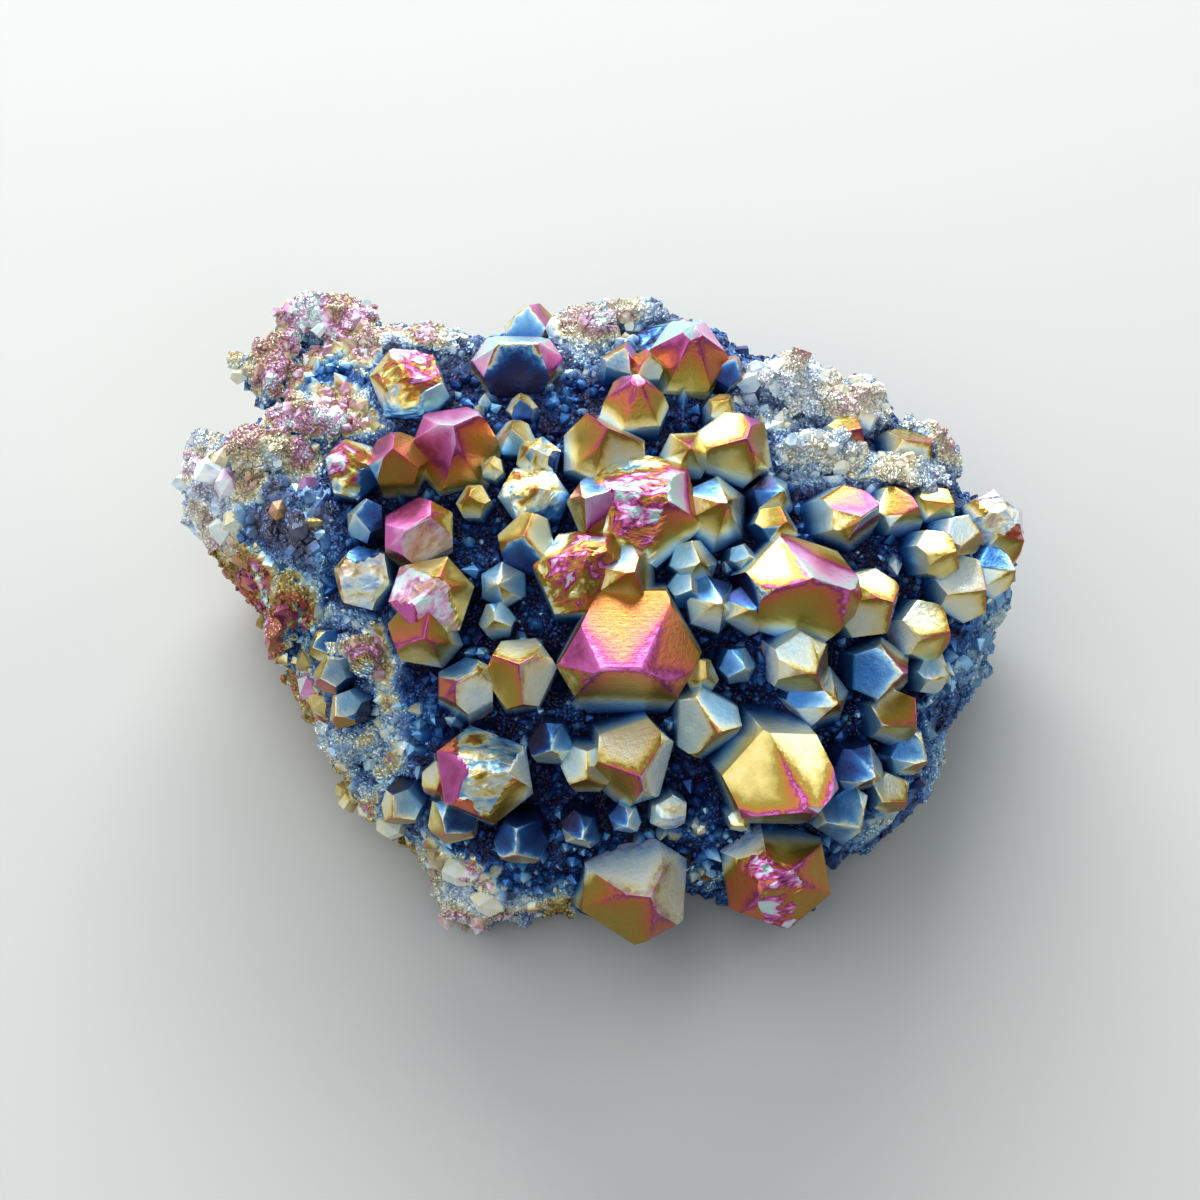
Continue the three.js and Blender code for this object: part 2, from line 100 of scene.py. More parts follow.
# Ways a crystal ends: how far below the tip each pyramid face starts, as a share of its half width.
EVEN = (0, 0.06, 0.03, 0.1, 0, 0.05)
CHISEL = (0.42, 0.03, 0.36, 0.45, 0.03, 0.4)
WEDGE = (0.18, 0.03, 0.38, 0.45, 0.03, 0.4)
SLANTED = (0.6, 0.03, 0.2, 0.5, 0.03, 0.5)
SHIELD = (0.35, 0.5, 0.3, 0.06, 0.02, 0.15)
RIDGED = (0, 0, 0.5, 0.12, 0.3, 0.4)
CHIPPED = (0.2, 0.14, 0.26, 0.18, 0.28, 0.12)

# The named crystals: across, up, width, proud, twist, tilt, faces. The tip stands at across and up,
# "proud" over the tip dome. Twist is the way its first pyramid face looks, in degrees. Tilt is the
# slope of its axis; None leans away from FOCUS. Faces None starts every second face lower.
CRYSTALS = [
    (-6.2, 25.2, 5.0, -1.5, 10, None, None),
    (6.6, 24.0, 7.4, -1.7, 25, None, CHIPPED),
    (-7.0, 21.8, 7.6, 0.6, 30, (0, 0.6), CHISEL),
    (1.6, 21.4, 3.0, 0, 15, None, None),
    (3.7, 20.8, 3.0, -0.4, 40, None, None),
    (6.9, 22.0, 6.6, 1.0, 30, (0.1, 0.6), SHIELD),
    (10.6, 20.6, 2.8, -0.6, 5, None, None),
    (-16.4, 19.4, 6.4, 0.2, 20, (-0.2, 0.3), CHIPPED),
    (2.6, 18.2, 5.2, 0.2, 40, (0.1, 0.8), SHIELD),
    (9.9, 17.2, 2.6, -1.2, 8, None, None),
    (-12.0, 15.0, 7.2, 1.4, -20, (0, 0.4), None),
    (-7.4, 14.8, 3.0, -1.4, 22, None, None),
    (0.2, 14.8, 6.4, 0.4, 60, (0.1, 0.6), None),
    (11.2, 14.0, 6.4, 0.8, 130, (0.2, 0.3), None),
    (20.6, 15.0, 3.6, -1.0, 18, None, None),
    (26.4, 13.8, 5.0, -0.8, 0, None, None),
    (-16.8, 13.2, 4.8, 0.4, 30, (-0.1, 0.4), None),
    (-5.4, 13.2, 3.6, -1.2, 50, None, CHIPPED),
    (6.8, 13.2, 4.2, -0.8, 35, (0.1, 0.3), EVEN),
    (-20.2, 12.4, 4.6, 0.2, 14, (0, 0.3), CHIPPED),
    (-6.0, 10.0, 5.4, -1.0, 33, None, CHIPPED),
    (2.8, 9.8, 9.4, 2.0, 12, (0, 0.3), CHIPPED),
    (-1.6, 9.2, 4.8, 0.6, 80, (-0.3, 0.2), None),
    (9.6, 8.8, 6.2, -0.4, 0, None, EVEN),
    (14.2, 9.8, 3.8, -1.0, 17, None, EVEN),
    (14.4, 7.4, 3.4, -1.4, 40, None, None),
    (-10.7, 9.4, 2.6, -1.4, 26, None, None),
    (21.0, 8.2, 5.6, 0.2, 70, (0.8, 0.2), CHISEL),
    (25.0, 8.6, 4.2, -0.2, 38, None, None),
    (28.0, 9.0, 3.6, -0.4, 22, None, None),
    (32.8, 8.2, 5.8, -0.4, 6, (0.6, 0.3), CHIPPED),
    (30.0, 6.6, 3.4, 0.2, 52, None, None),
    (-19.8, 8.0, 3.4, -1.0, 0, None, None),
    (-14.8, 7.2, 5.8, 0.6, 60, (0, 0.25), CHISEL),
    (-6.4, 6.2, 4.8, -0.4, 12, None, None),
    (-1.6, 4.8, 7.4, 1.4, 25, (0, 0.35), CHIPPED),
    (2.3, 3.4, 5.4, 0.2, 8, (0.3, 0.2), None),
    (7.5, 4.2, 3.6, -1.6, 45, None, None),
    (17.0, 2.6, 9.0, 1.6, 20, (0.4, 0.1), SLANTED),
    (28.0, 5.0, 4.0, 0.2, 150, (0.9, 0.1), None),
    (33.0, 3.6, 4.0, -0.8, 31, None, None),
    (33.8, 6.0, 4.0, -1.2, 3, None, None),
    (-20.4, 3.2, 5.0, -0.4, 9, None, CHIPPED),
    (-13.6, 1.8, 7.0, 1.2, 42, (0, 0.1), CHIPPED),
    (-8.4, 2.4, 3.8, -1.8, 0, None, EVEN),
    (6.8, 2.0, 2.8, -2.2, 27, None, None),
    (30.4, 2.0, 5.4, 0, 140, (0.9, 0), None),
    (22.8, 1.0, 5.6, 0.6, 110, (0.7, 0), None),
    (9.2, 0.9, 4.6, -1.6, 16, None, EVEN),
    (11.9, 0.4, 3.8, -1.8, 4, None, None),
    (-14.2, -1.8, 5.8, 0.4, 20, (0, -0.1), None),
    (-8.7, -0.4, 3.0, -2.0, 37, None, None),
    (27.4, -1.4, 4.8, 0.2, 145, (0.9, 0), None),
    (1.8, -4.2, 11.0, 2.0, 30, (0, -0.2), WEDGE),
    (-6.7, -3.8, 5.8, 0.2, 95, (0, 0.2), None),
    (11.0, -4.2, 2.8, -2.0, 40, None, None),
    (16.6, -4.6, 5.2, 0.4, 130, (0.4, -0.3), None),
    (23.6, -4.6, 5.4, -0.2, 70, (0.7, -0.1), None),
    (27.4, -4.8, 3.4, -0.6, 33, None, None),
    (-22.6, -5.0, 3.0, 0, 12, None, None),
    (-10.8, -4.8, 4.6, -0.4, 60, (0, 0.3), CHISEL),
    (18.4, -7.0, 5.4, -0.8, 50, None, EVEN),
    (-21.4, -8.0, 3.0, 0, 40, None, None),
    (8.9, -9.2, 5.6, -0.6, 65, (0.3, -0.3), None),
    (24.7, -8.6, 4.6, 0, 18, None, None),
    (-4.2, -10.6, 3.6, -1.4, 25, None, None),
    (-9.2, -12.0, 7.8, 1.2, 10, (0.1, 0.1), CHIPPED),
    (25.6, -11.6, 3.8, -0.6, 36, None, None),
    (2.8, -12.6, 6.8, 0.4, 110, (0.2, -0.3), None),
    (21.4, -12.8, 4.2, -0.6, 47, None, None),
    (-1.4, -12.8, 4.0, -0.8, 30, None, None),
    (-13.3, -13.8, 3.4, -0.4, 8, None, None),
    (15.8, -15.0, 9.2, 1.8, 88, (0.5, -0.6), RIDGED),
    (24.0, -14.8, 3.4, -0.6, 19, None, None),
    (5.4, -16.2, 3.0, -1.6, 0, None, CHIPPED),
    (-16.8, -16.0, 3.4, -0.4, 33, None, None),
    (1.8, -16.6, 2.6, -1.4, 21, None, None),
    (20.2, -16.8, 4.8, 0, 6, None, None),
    (-12.6, -17.2, 4.0, 0, 44, None, None),
    (-1.8, -17.6, 3.2, -1.0, 14, None, None),
    (-7.0, -18.8, 4.2, -0.2, 29, None, None),
    (13.6, -20.8, 9.0, 1.6, 10, (0, 0), CHIPPED),
    (3.6, -22.2, 9.2, 1.4, 0, (0.2, -0.1), None),
]

# Broken lumps of matrix: the middle's across, up and out, and the half sizes the same way.
LUMPS = [
    ((-22.6, 23.6, -3.5), (3.8, 2.8, 3.2)),
    ((-26.8, 19.4, -1.0), (2.4, 3.2, 2.6)),
    ((-14.8, 21.6, 0.0), (4.6, 2.6, 3.4)),
    ((-1.8, 21.4, 0.0), (3.0, 3.2, 3.0)),
    ((2.0, 23.4, -2.5), (4.2, 2.2, 3.0)),
    ((14.4, 18.2, 2.5), (4.0, 3.0, 3.6)),
    ((19.4, 16.6, 2.0), (4.2, 3.0, 3.4)),
    ((25.2, 13.2, 1.6), (3.6, 2.8, 3.2)),
    ((16.8, 13.0, 6.6), (4.6, 2.2, 3.4)),
    ((22.6, 11.4, 5.5), (4.8, 2.2, 3.2)),
    ((-31.4, 10.6, -0.6), (3.2, 4.2, 3.2)),
    ((-26.4, 12.6, 4.0), (5.0, 3.0, 3.4)),
    ((-22.6, 15.4, 5.0), (4.6, 2.0, 2.8)),
    ((-24.4, 7.2, 6.4), (3.2, 3.8, 3.4)),
    ((-25.2, 1.0, 4.6), (2.2, 4.6, 3.4)),
    ((-19.4, -3.8, 8.4), (3.4, 3.2, 3.2)),
    ((-18.6, -9.4, 8.6), (3.4, 3.2, 3.4)),
    ((-16.0, -14.6, 8.6), (3.0, 2.8, 3.0)),
    ((-10.2, -21.8, 6.4), (3.6, 3.4, 3.8)),
    ((2.6, -21.8, 4.4), (3.6, 2.8, 4.8)),
    ((14.0, -21.2, 4.6), (3.4, 2.6, 4.8)),
]

# Small points that fill the gaps: how many are tried, their widths and how far they sink, how near
# the rim they reach, and the clear space to a neighbour as a share of both widths.
FILL_COUNT = 40
FILL_WIDTH = (1.6, 2.8)
FILL_SINK = (1.2, 2.8)
FILL_EDGE = 0.9
FILL_GAP = 0.42
GOLDEN_ANGLE = math.radians(137.508)


# ---- Numbers ----
def chance(index, use):
    """A repeatable number from 0 to 1 for each pair: the fraction of a large sine wave's height. Each
    thing that is left to chance has a "use" of its own, so that no two go together."""
    wave = np.sin(np.asarray(index) * 12.9898 + np.asarray(use) * 78.233) * 43758.5453
    return wave - np.floor(wave)


def lattice(cells, use):
    """A repeatable number from 0 to 1 for each whole-numbered cell (..., 3)."""
    x, y, z = (cells[..., i].astype(np.int64) for i in range(3))
    mixed = (x * 73856093) ^ (y * 19349663) ^ (z * 83492791) ^ (use * 2654435761)
    mixed = ((mixed ^ (mixed >> 13)) & 0x7FFFFFFF) * 1274126177
    return ((mixed ^ (mixed >> 16)) & 0xFFFFFF) / float(0x1000000)


def clouds(points, size, use):
    """Smooth noise from 0 to 1 with cells of a size: the numbers at a cell's eight corners, eased from
    one to the next."""
    scaled = points / size
    cell = np.floor(scaled)
    share = scaled - cell
    share = share * share * (3 - 2 * share)
    total = np.zeros(points.shape[:-1])
    for corner in range(8):
        step = np.array([corner & 1, (corner >> 1) & 1, corner >> 2])
        weight = np.prod(np.where(step, share, 1 - share), axis=-1)
        total += weight * lattice(cell + step, use)
    return total


def linear(hex_colour):
    """An sRGB hex colour as linear red, green, blue and full alpha."""
    channels = [int(hex_colour[i : i + 2], 16) / 255 for i in (1, 3, 5)]
    return tuple(c / 12.92 if c <= 0.04045 else ((c + 0.055) / 1.055) ** 2.4 for c in channels) + (1.0,)


# ---- The show face ----
def from_face(across, up, out):
    """Points in the row frame from their places on the show face."""
    return (
        FACE_MIDDLE
        + np.asarray(across)[..., None] * ACROSS
        + np.asarray(up)[..., None] * UP
        + np.asarray(out)[..., None] * OUT
    )


def to_face(points):
    """Across, up and out of points in the row frame."""
    away = points - FACE_MIDDLE
    return away @ ACROSS, away @ UP, away @ OUT


RIM_ANGLES = np.arctan2(RIM[:, 1], RIM[:, 0])
RIM_RADII = np.hypot(RIM[:, 0], RIM[:, 1])


def rim_radius(angle):
    """The rim's distance from the middle, straight in angle between the rim's points."""
    return np.interp(angle, RIM_ANGLES, RIM_RADII, period=2 * math.pi)


def dome_out(across, up, rise, overhang):
    """Height of a dome that falls from its rise in the middle to nothing at the rim plus overhang,
    sheared back by a share of up."""
    reach = rim_radius(np.arctan2(up, across)) + overhang
    share = np.minimum(np.hypot(across, up) / reach, 1)
    return rise * (1 - share**DOME_POWER) ** DOME_ROUNDING - FACE_SHEAR * up


def lumpiness(points):
    """Broad and narrow waves multiplied and added, from -1 to 1."""
    x, y, z = points[..., 0], points[..., 1], points[..., 2]
    broad = np.sin(0.55 * x + 0.8) * np.sin(0.6 * y + 0.35 * z - 0.5)
    narrow = np.sin(1.15 * x - 0.9 * z) * np.sin(1.3 * y + 1.1)
    return 0.6 * broad + 0.4 * narrow


# ---- Surfaces ----
def closed_grid(first, rings, last):
    """Joins rings (rows, columns, 3) to each other and to one point at each end: two triangles between
    each four points, and one from each two to the end. Returns the points, the triangles and each
    triangle's column, with rows running away from the outward end."""
    rows, columns = rings.shape[:2]
    points = np.concatenate([first[None], rings.reshape(-1, 3), last[None]])
    here = 1 + np.arange(columns)
    onward = 1 + (np.arange(columns) + 1) % columns
    top = np.stack([np.zeros_like(here), here, onward], axis=1)
    starts = (np.arange(rows - 1) * columns)[:, None]
    a, b = here + starts, onward + starts
    c, d = a + columns, b + columns
    sides = np.stack([np.stack([a, c, d], -1), np.stack([a, d, b], -1)], axis=2).reshape(-1, 3)
    end = np.full_like(here, len(points) - 1)
    foot = np.stack([end, end - columns + (onward - 1), end - columns + (here - 1)], axis=1)
    column = np.concatenate([
        np.arange(columns),
        np.repeat(np.tile(np.arange(columns), rows - 1), 2),
        np.arange(columns),
    ])
    return points, np.concatenate([top, sides, foot]), column


def matrix_surface(slices=220, dome_rows=50, wall_rows=24):
    """The matrix: rings on the dome from its middle to the rim, then down a wall whose broken faces
    stand in and out by chance, to the flat base."""
    angle = np.arange(slices) * 2 * math.pi / slices
    share = np.sin(np.arange(1, dome_rows + 1) / dome_rows * math.pi / 2)[:, None]
    radius = rim_radius(angle)[None, :] * share
    across, up = radius * np.cos(angle), radius * np.sin(angle)
    dome = from_face(across, up, dome_out(across, up, FLOOR_RISE, 0))
    dome += (MATRIX_WAVES * lumpiness(dome) * (1 - share**4))[..., None] * OUT
    rim = dome[-1]
    drop = np.arange(1, wall_rows + 1) / wall_rows
    blocks = chance(np.arange(MATRIX_SLICES)[None, :], 50 + np.arange(WALL_ROWS + 1)[:, None]) - 0.5
    blocks[0] = 0
    row = drop * WALL_ROWS
    low = np.minimum(row.astype(int), WALL_ROWS - 1)
    column = np.arange(slices) * MATRIX_SLICES / slices
    left = column.astype(int)
    right = (left + 1) % MATRIX_SLICES
    along = column - left
    level = blocks[:, left] * (1 - along) + blocks[:, right] * along
    rest = (row - low)[:, None]
    broken = WALL_BREAKS * (level[low] * (1 - rest) + level[low + 1] * rest)
    spread = 1 + WALL_SWELL * np.sin(drop * math.pi)[:, None] - BASE_TAPER * drop[:, None] ** 2 + broken
    wall = np.stack([rim[:, 0] * spread, rim[:, 1] * spread, rim[:, 2] * (1 - drop[:, None])], axis=-1)
    middle = from_face(0.0, 0.0, dome_out(0.0, 0.0, FLOOR_RISE, 0))
    middle = middle + MATRIX_WAVES * lumpiness(middle) * OUT
    return closed_grid(middle, np.concatenate([dome, wall]), np.zeros(3))


def chance_directions(index, count, use):
    """Repeatable unit vectors spread over the ball."""
    turn = 2 * math.pi * chance(index + np.arange(count), use)
    height = 2 * chance(index + np.arange(count), use + 1) - 1
    flat = np.sqrt(1 - height**2)
    return np.stack([flat * np.cos(turn), flat * np.sin(turn), height], axis=-1)


LUMP_PLANES = 18


def lump_surface(index, middle, half, around=40, rows=20):
    """A broken lump: a ball cut by chance planes, worn by noise and scaled to its half sizes. Along a
    direction its radius is the least, over the planes, of height over the cosine to the plane."""
    turn = np.arange(around) * 2 * math.pi / around
    fall = (np.arange(1, rows) / rows * math.pi)[:, None]
    ball = np.stack(
        [np.sin(fall) * np.cos(turn), np.sin(fall) * np.sin(turn), np.cos(fall) + 0 * turn], axis=-1
    )
    ends = np.array([[0.0, 0.0, 1.0], [0.0, 0.0, -1.0]])
    planes = chance_directions(100 * index, LUMP_PLANES, 90)
    heights = 0.66 + 0.3 * chance(100 * index + np.arange(LUMP_PLANES), 92)

    def worn(directions):
        """The lump's surface along each direction from its middle."""
        cosines = np.maximum(directions @ planes.T, 0.05)
        radius = np.minimum((heights / cosines).min(axis=-1), 1.15)
        radius = radius + 0.16 * (clouds(directions + 9.0 * index, 0.4, 3) - 0.5)
        place = np.asarray(middle) + directions * radius[..., None] * np.asarray(half)
        return from_face(place[..., 0], place[..., 1], place[..., 2])

    return closed_grid(worn(ends[0]), worn(ball), worn(ends[1]))


def crystal_shape(index, width, faces):
    """Half widths to the six prism sides, and how far below the tip each pyramid face starts."""
    apothem = HALF_FLATS * width
    k = np.arange(6)
    prism = apothem * (0.86 + 0.24 * chance(index, k))
    lower = np.where(k % 2 == 1, 0.1 + 0.5 * chance(index, 10 + k), 0)
    start = apothem * QUARTZ_SLOPE * (np.array(faces, dtype=float) if faces else lower)
    return prism, start


def section(depth, prism, start):
    """Corners (depths, 6, 2) of the hexagon at each depth. A side's distance from the axis is the
    smaller of its prism's and its pyramid face's, and never past where its neighbours meet."""
    d = np.minimum(prism[:, None], np.maximum(depth + start[:, None], 0) / QUARTZ_SLOPE)
    for k in (1, 3, 5, 0, 2, 4):
        d[k] = np.minimum(d[k], d[k - 1] + d[(k + 1) % 6])
    angle = np.radians(60 * np.arange(6))[:, None]
    sideways = (np.roll(d, -1, axis=0) - 0.5 * d) / math.sin(math.radians(60))
    x = d * np.cos(angle) - sideways * np.sin(angle)
    y = d * np.sin(angle) + sideways * np.cos(angle)
    return np.stack([x, y], axis=-1).transpose(1, 0, 2)


def crystal_surface(index, width, length, faces, along, levels):
    """A quartz point, tip at the origin and body towards -Z: the hexagon's corners at each depth, with
    points crowded towards each edge. A chipped point is cut down by a few chance planes."""
    prism, start = crystal_shape(index, width, faces)
    shoulders = np.maximum(prism * QUARTZ_SLOPE - start, 0.1)
    crest = shoulders.max()
    even = np.linspace(0.04, 1, levels) ** 1.3 * crest
    near = 0.02 * width
    below = np.linspace(crest, length, max(levels // 3, 2) + 1)[1:]
    depth = np.concatenate([[0.02], even, shoulders - near, shoulders + near, below])
    depth = np.sort(np.clip(depth, 0.01, length))
    corners = section(depth, prism, start)
    before = np.roll(corners, 1, axis=1)[:, :, None]
    ring = (before + (corners[:, :, None] - before) * along[:, None]).reshape(len(depth), -1, 2)
    rings = np.concatenate([ring, np.broadcast_to(-depth[:, None, None], ring.shape[:2] + (1,))], -1)
    first = np.zeros(3)
    broken = np.zeros(len(triangles_of(rings)), dtype=bool)
    if start.min() > 0.02 * width:
        cap = rings[0][None] * np.array([1.0, 1.0, 0.0]) * np.linspace(0.1, 0.97, 10)[:, None, None]
        rings = np.concatenate([cap, rings])
        first, rings, cut = chipped(index, width, first, rings)
        broken = np.append(cut, False)[triangles_of(rings)].all(axis=1)
    points, triangles, column = closed_grid(first, rings, np.array([0.0, 0.0, -length]))
    return points, triangles, np.where(broken, CHIP, column // len(along))


def triangles_of(rings):
    """The triangles of a closed grid of these rings."""
    return closed_grid(np.zeros(3), rings, np.zeros(3))[1]


# How deep a tip is chipped where it is not the common depth, how many planes cut it, and how deep
# the grooves of the break are for a point one millimetre wide.
CHIP_DEPTHS = {81: 0.4}
CHIP_PLANES = 6
GROOVE_DEPTH = 0.22


def chipped(index, width, first, rings):
    """Cuts the tip down to the lowest of six chance planes that fall away all round, like a blunt point,
    then grooves what they cut: the grooves are the folds of noise that is drawn out one way. Returns
    the tip, the rings, and which of the points the planes cut."""
    everything = np.concatenate([first[None], rings.reshape(-1, 3)])
    x, y, z = everything.T
    cut = np.zeros(len(everything))
    for plane in range(CHIP_PLANES):
        way = 2 * math.pi * (plane + 0.9 * chance(index, 20 + plane)) / CHIP_PLANES
        fall = 0.25 + 0.8 * chance(index, 30 + plane)
        start = (0.01 + 0.13 * chance(index, 40 + plane)) * CHIP_DEPTHS.get(index, 1)
        cut = np.minimum(cut, -start * width - fall * (x * math.cos(way) + y * math.sin(way)))
    turn = 6.28 * chance(index, 48)
    along = (x * math.cos(turn) + y * math.sin(turn)) / 2.2
    drawn = np.stack([along, y * math.cos(turn) - x * math.sin(turn), 0.3 * z], axis=-1) + 3.0 * index
    folds = np.abs(clouds(drawn, 1.0, 5) - 0.5) + 0.5 * np.abs(clouds(drawn, 0.4, 6) - 0.5)
    broken = cut < z
    z = np.where(broken, cut - GROOVE_DEPTH * width**0.5 * folds, z)
    everything = np.stack([x, y, np.minimum(z, 0.0)], axis=-1)
    return everything[0], everything[1:].reshape(rings.shape), broken


def crystal_axis(across, up, out, tilt):
    """Unit axis of a crystal on the show face: OUT plus its slopes."""
    away = out - FOCUS[2]
    slope = tilt if tilt else ((across - FOCUS[0]) / away, (up - FOCUS[1]) / away)
    axis = slope[0] * ACROSS + slope[1] * UP + OUT
    return axis / np.linalg.norm(axis)


def turned(axis, twist):
    """The rotation that twists about Z, in degrees, and then takes Z to the axis the shortest way."""
    c, s = math.cos(math.radians(twist)), math.sin(math.radians(twist))
    spin = np.array([[c, -s, 0], [s, c, 0], [0, 0, 1.0]])
    v = np.cross([0, 0, 1.0], axis)
    cross = np.array([[0, -v[2], v[1]], [v[2], 0, -v[0]], [-v[1], v[0], 0]])
    return (np.eye(3) + cross + cross @ cross / (1 + axis[2])) @ spin


def fill_crystals():
    """Small points on a sunflower spiral, where no named crystal and no lump is in the way."""
    made = []
    for i in range(FILL_COUNT):
        angle = i * GOLDEN_ANGLE
        radius = rim_radius(angle) * FILL_EDGE * math.sqrt((i + 0.5) / FILL_COUNT)
        across = radius * math.cos(angle) + chance(i, 31) - 0.5
        up = radius * math.sin(angle) + chance(i, 32) - 0.5
        width = FILL_WIDTH[0] + (FILL_WIDTH[1] - FILL_WIDTH[0]) * chance(i, 33)
        proud = -(FILL_SINK[0] + (FILL_SINK[1] - FILL_SINK[0]) * chance(i, 34))
        free = all(
            math.hypot(across - c[0], up - c[1]) > FILL_GAP * (c[2] + width) for c in CRYSTALS
        ) and all(math.hypot(across - m[0], up - m[1]) > h[0] for m, h in LUMPS)
        if free:
            made.append((across, up, width, proud, 60 * chance(i, 35), None, None))
    return made


# ---- Meshes ----
def mesh_object(name, points, triangles):
    """An object at the origin, with its points given in millimetres and kept in metres."""
    mesh = bpy.data.meshes.new(name)
    mesh.vertices.add(len(points))
    mesh.vertices.foreach_set("co", (points * MM).astype(np.float32).ravel())
    mesh.loops.add(3 * len(triangles))
    mesh.loops.foreach_set("vertex_index", triangles.astype(np.int32).ravel())
    mesh.polygons.add(len(triangles))
    mesh.polygons.foreach_set("loop_start", np.arange(0, 3 * len(triangles), 3, dtype=np.int32))
    mesh.update(calc_edges=True)
    mesh.validate()
    thing = bpy.data.objects.new(name, mesh)
    bpy.context.scene.collection.objects.link(thing)
    return thing


def set_numbers(mesh, name, domain, kind, values):
    """Stores one number for each point, corner or face under a name."""
    layer = mesh.attributes.new(name, kind, domain)
    layer.data.foreach_set("value", np.ascontiguousarray(values).ravel())


def read_mesh(mesh):
    """A triangle mesh's points in millimetres and its triangles."""
    points = np.empty(3 * len(mesh.vertices), dtype=np.float32)
    mesh.vertices.foreach_get("co", points)
    triangles = np.empty(3 * len(mesh.polygons), dtype=np.int32)
    mesh.loops.foreach_get("vertex_index", triangles)
    return points.reshape(-1, 3).astype(float) / MM, triangles.reshape(-1, 3)


# ---- The rock as one closed mesh ----
# Each triangle's number says what it belongs to: the matrix, a lump, or side 0 to 5 or the chip of a
# crystal, which is the crystal's index times SIDES plus the side.
MATRIX_FACE = -1
LUMP_FACE = -2
CHIP = 6
SIDES = 8


def placed_crystals():
    """Each crystal's number, tip, rotation, width, length and faces, named ones first."""
    for index, spec in enumerate(CRYSTALS + fill_crystals()):
        across, up, width, proud, twist, tilt, faces = spec
        out = dome_out(across, up, TIP_RISE, TIP_OVERHANG) + proud
        turn = turned(crystal_axis(across, up, out, tilt), twist)
        yield index, from_face(across, up, out), turn, width, BODY_LENGTH + BODY_PER_WIDTH * width, faces


def columns_and_rows(width, faces):
    """Where the columns of one side stand, crowded towards its edges, and how many rows a point has."""
    if faces is CHIPPED and width >= 4.5:
        return np.arange(8) / 8, 20
    if width >= 5:
        return np.array([0, 0.05, 0.2, 0.5, 0.8, 0.95]), 15
    if width >= 3.3:
        return np.array([0, 0.08, 0.5, 0.92]), 12
    return np.array([0, 0.5]), 8


def crystal_item(index, tip, turn, width, length, faces):
    """A crystal's points, triangles and face numbers, in place."""
    along, levels = columns_and_rows(width, faces)
    points, triangles, sides = crystal_surface(index, width, length, faces, along, levels)
    return points @ turn.T + tip, triangles, index * SIDES + sides


def apart_groups(items, gap=0.02):
    """Sorts closed pieces into groups in which no two boxes touch, so that a group is closed too."""
    groups = []
    for item in items:
        low, high = item[0].min(axis=0) - gap, item[0].max(axis=0) + gap
        for group in groups:
            if all(np.any(low > top) or np.any(high < bottom) for _, bottom, top in group):
                group.append((item, low, high))
                break
        else:
            groups.append([(item, low, high)])
    return [[item for item, _, _ in group] for group in groups]


def joined(items):
    """Several closed pieces as one list of points, of triangles and of face numbers."""
    counts = np.cumsum([0] + [len(points) for points, _, _ in items])
    return (
        np.concatenate([points for points, _, _ in items]),
        np.concatenate([triangles + start for (_, triangles, _), start in zip(items, counts)]),
        np.concatenate([numbers for _, _, numbers in items]),
    )


def box_below(size=200.0):
    """A box whose top is the flat base's plane."""
    corners = np.array([[x, y, z] for z in (-size, 0) for y in (-size, size) for x in (-size, size)])
    quads = [(0, 2, 3, 1), (4, 5, 7, 6), (0, 1, 5, 4), (2, 6, 7, 3), (0, 4, 6, 2), (1, 3, 7, 5)]
    triangles = np.array([t for a, b, c, d in quads for t in ((a, b, c), (a, c, d))])
    return corners, triangles, np.full(12, MATRIX_FACE)


def united(groups):
    """One mesh of all the groups, each joined to what came before, with nothing below the base."""
    things = []
    for i, items in enumerate(groups + [[box_below()]]):
        points, triangles, numbers = joined(items)
        thing = mesh_object(f"growing_{i}", points, triangles)
        set_numbers(thing.data, "face_id", "FACE", "INT", numbers.astype(np.int32))
        things.append(thing)
    rock = things[0]
    for thing in things[1:]:
        step = rock.modifiers.new(thing.name, "BOOLEAN")
        step.solver = "MANIFOLD"
        step.operation = "DIFFERENCE" if thing is things[-1] else "UNION"
        step.object = thing
    rock.modifiers.new("triangles", "TRIANGULATE")
    grown = bpy.data.meshes.new_from_object(rock.evaluated_get(bpy.context.evaluated_depsgraph_get()))
    for thing in things:
        mesh = thing.data
        bpy.data.objects.remove(thing)
        bpy.data.meshes.remove(mesh)
    return grown


# ---- How open each place is ----
SEEDS = {"horizon": 11, "druse": 23, "crust": 57, "sugar": 31}


class Horizon:
    """The rock's height over the show face on a square grid, for asking how much sky a place sees: the
    grid keeps the highest of many chance places on the rock in each of its cells."""

    CELL = 0.2
    REACH = 45.0
    NOTHING_THERE = -60.0
    # The distances at which the horizon is looked for, in millimetres.
    STEPS = np.array([0.4, 0.8, 1.3, 2.0, 3.0, 4.5, 6.5, 9.0])

    def __init__(self, points, triangles, samples=1_500_000):
        spread = np.random.default_rng(SEEDS["horizon"])
        places = on_triangles(points, triangles, samples, spread)[0]
        self.count = int(2 * self.REACH / self.CELL)
        self.grid = np.full((self.count, self.count), self.NOTHING_THERE)
        across, up, out = to_face(np.concatenate([points, places]))
        np.maximum.at(self.grid, (self.cell(across), self.cell(up)), out)

    def cell(self, length):
        """The grid's row or column for a length from the middle."""
        return np.clip(((length + self.REACH) / self.CELL).astype(int), 0, self.count - 1)

    def height(self, across, up):
        """The rock's height at places on the show face."""
        return self.grid[self.cell(across), self.cell(up)]

    def openness(self, points, directions=12):
        """Mean over the directions of the squared cosine of the horizon's height, 1 with no walls."""
        across, up, out = to_face(points)
        total = np.zeros(len(points))
        for turn in np.arange(directions) * 2 * math.pi / directions:
            slope = np.zeros(len(points))
            for step in self.STEPS:
                height = self.grid[
                    self.cell(across + step * math.cos(turn)), self.cell(up + step * math.sin(turn))
                ]
                slope = np.maximum(slope, (height - out) / step)
            total += 1 / (1 + slope**2)
        return total / directions


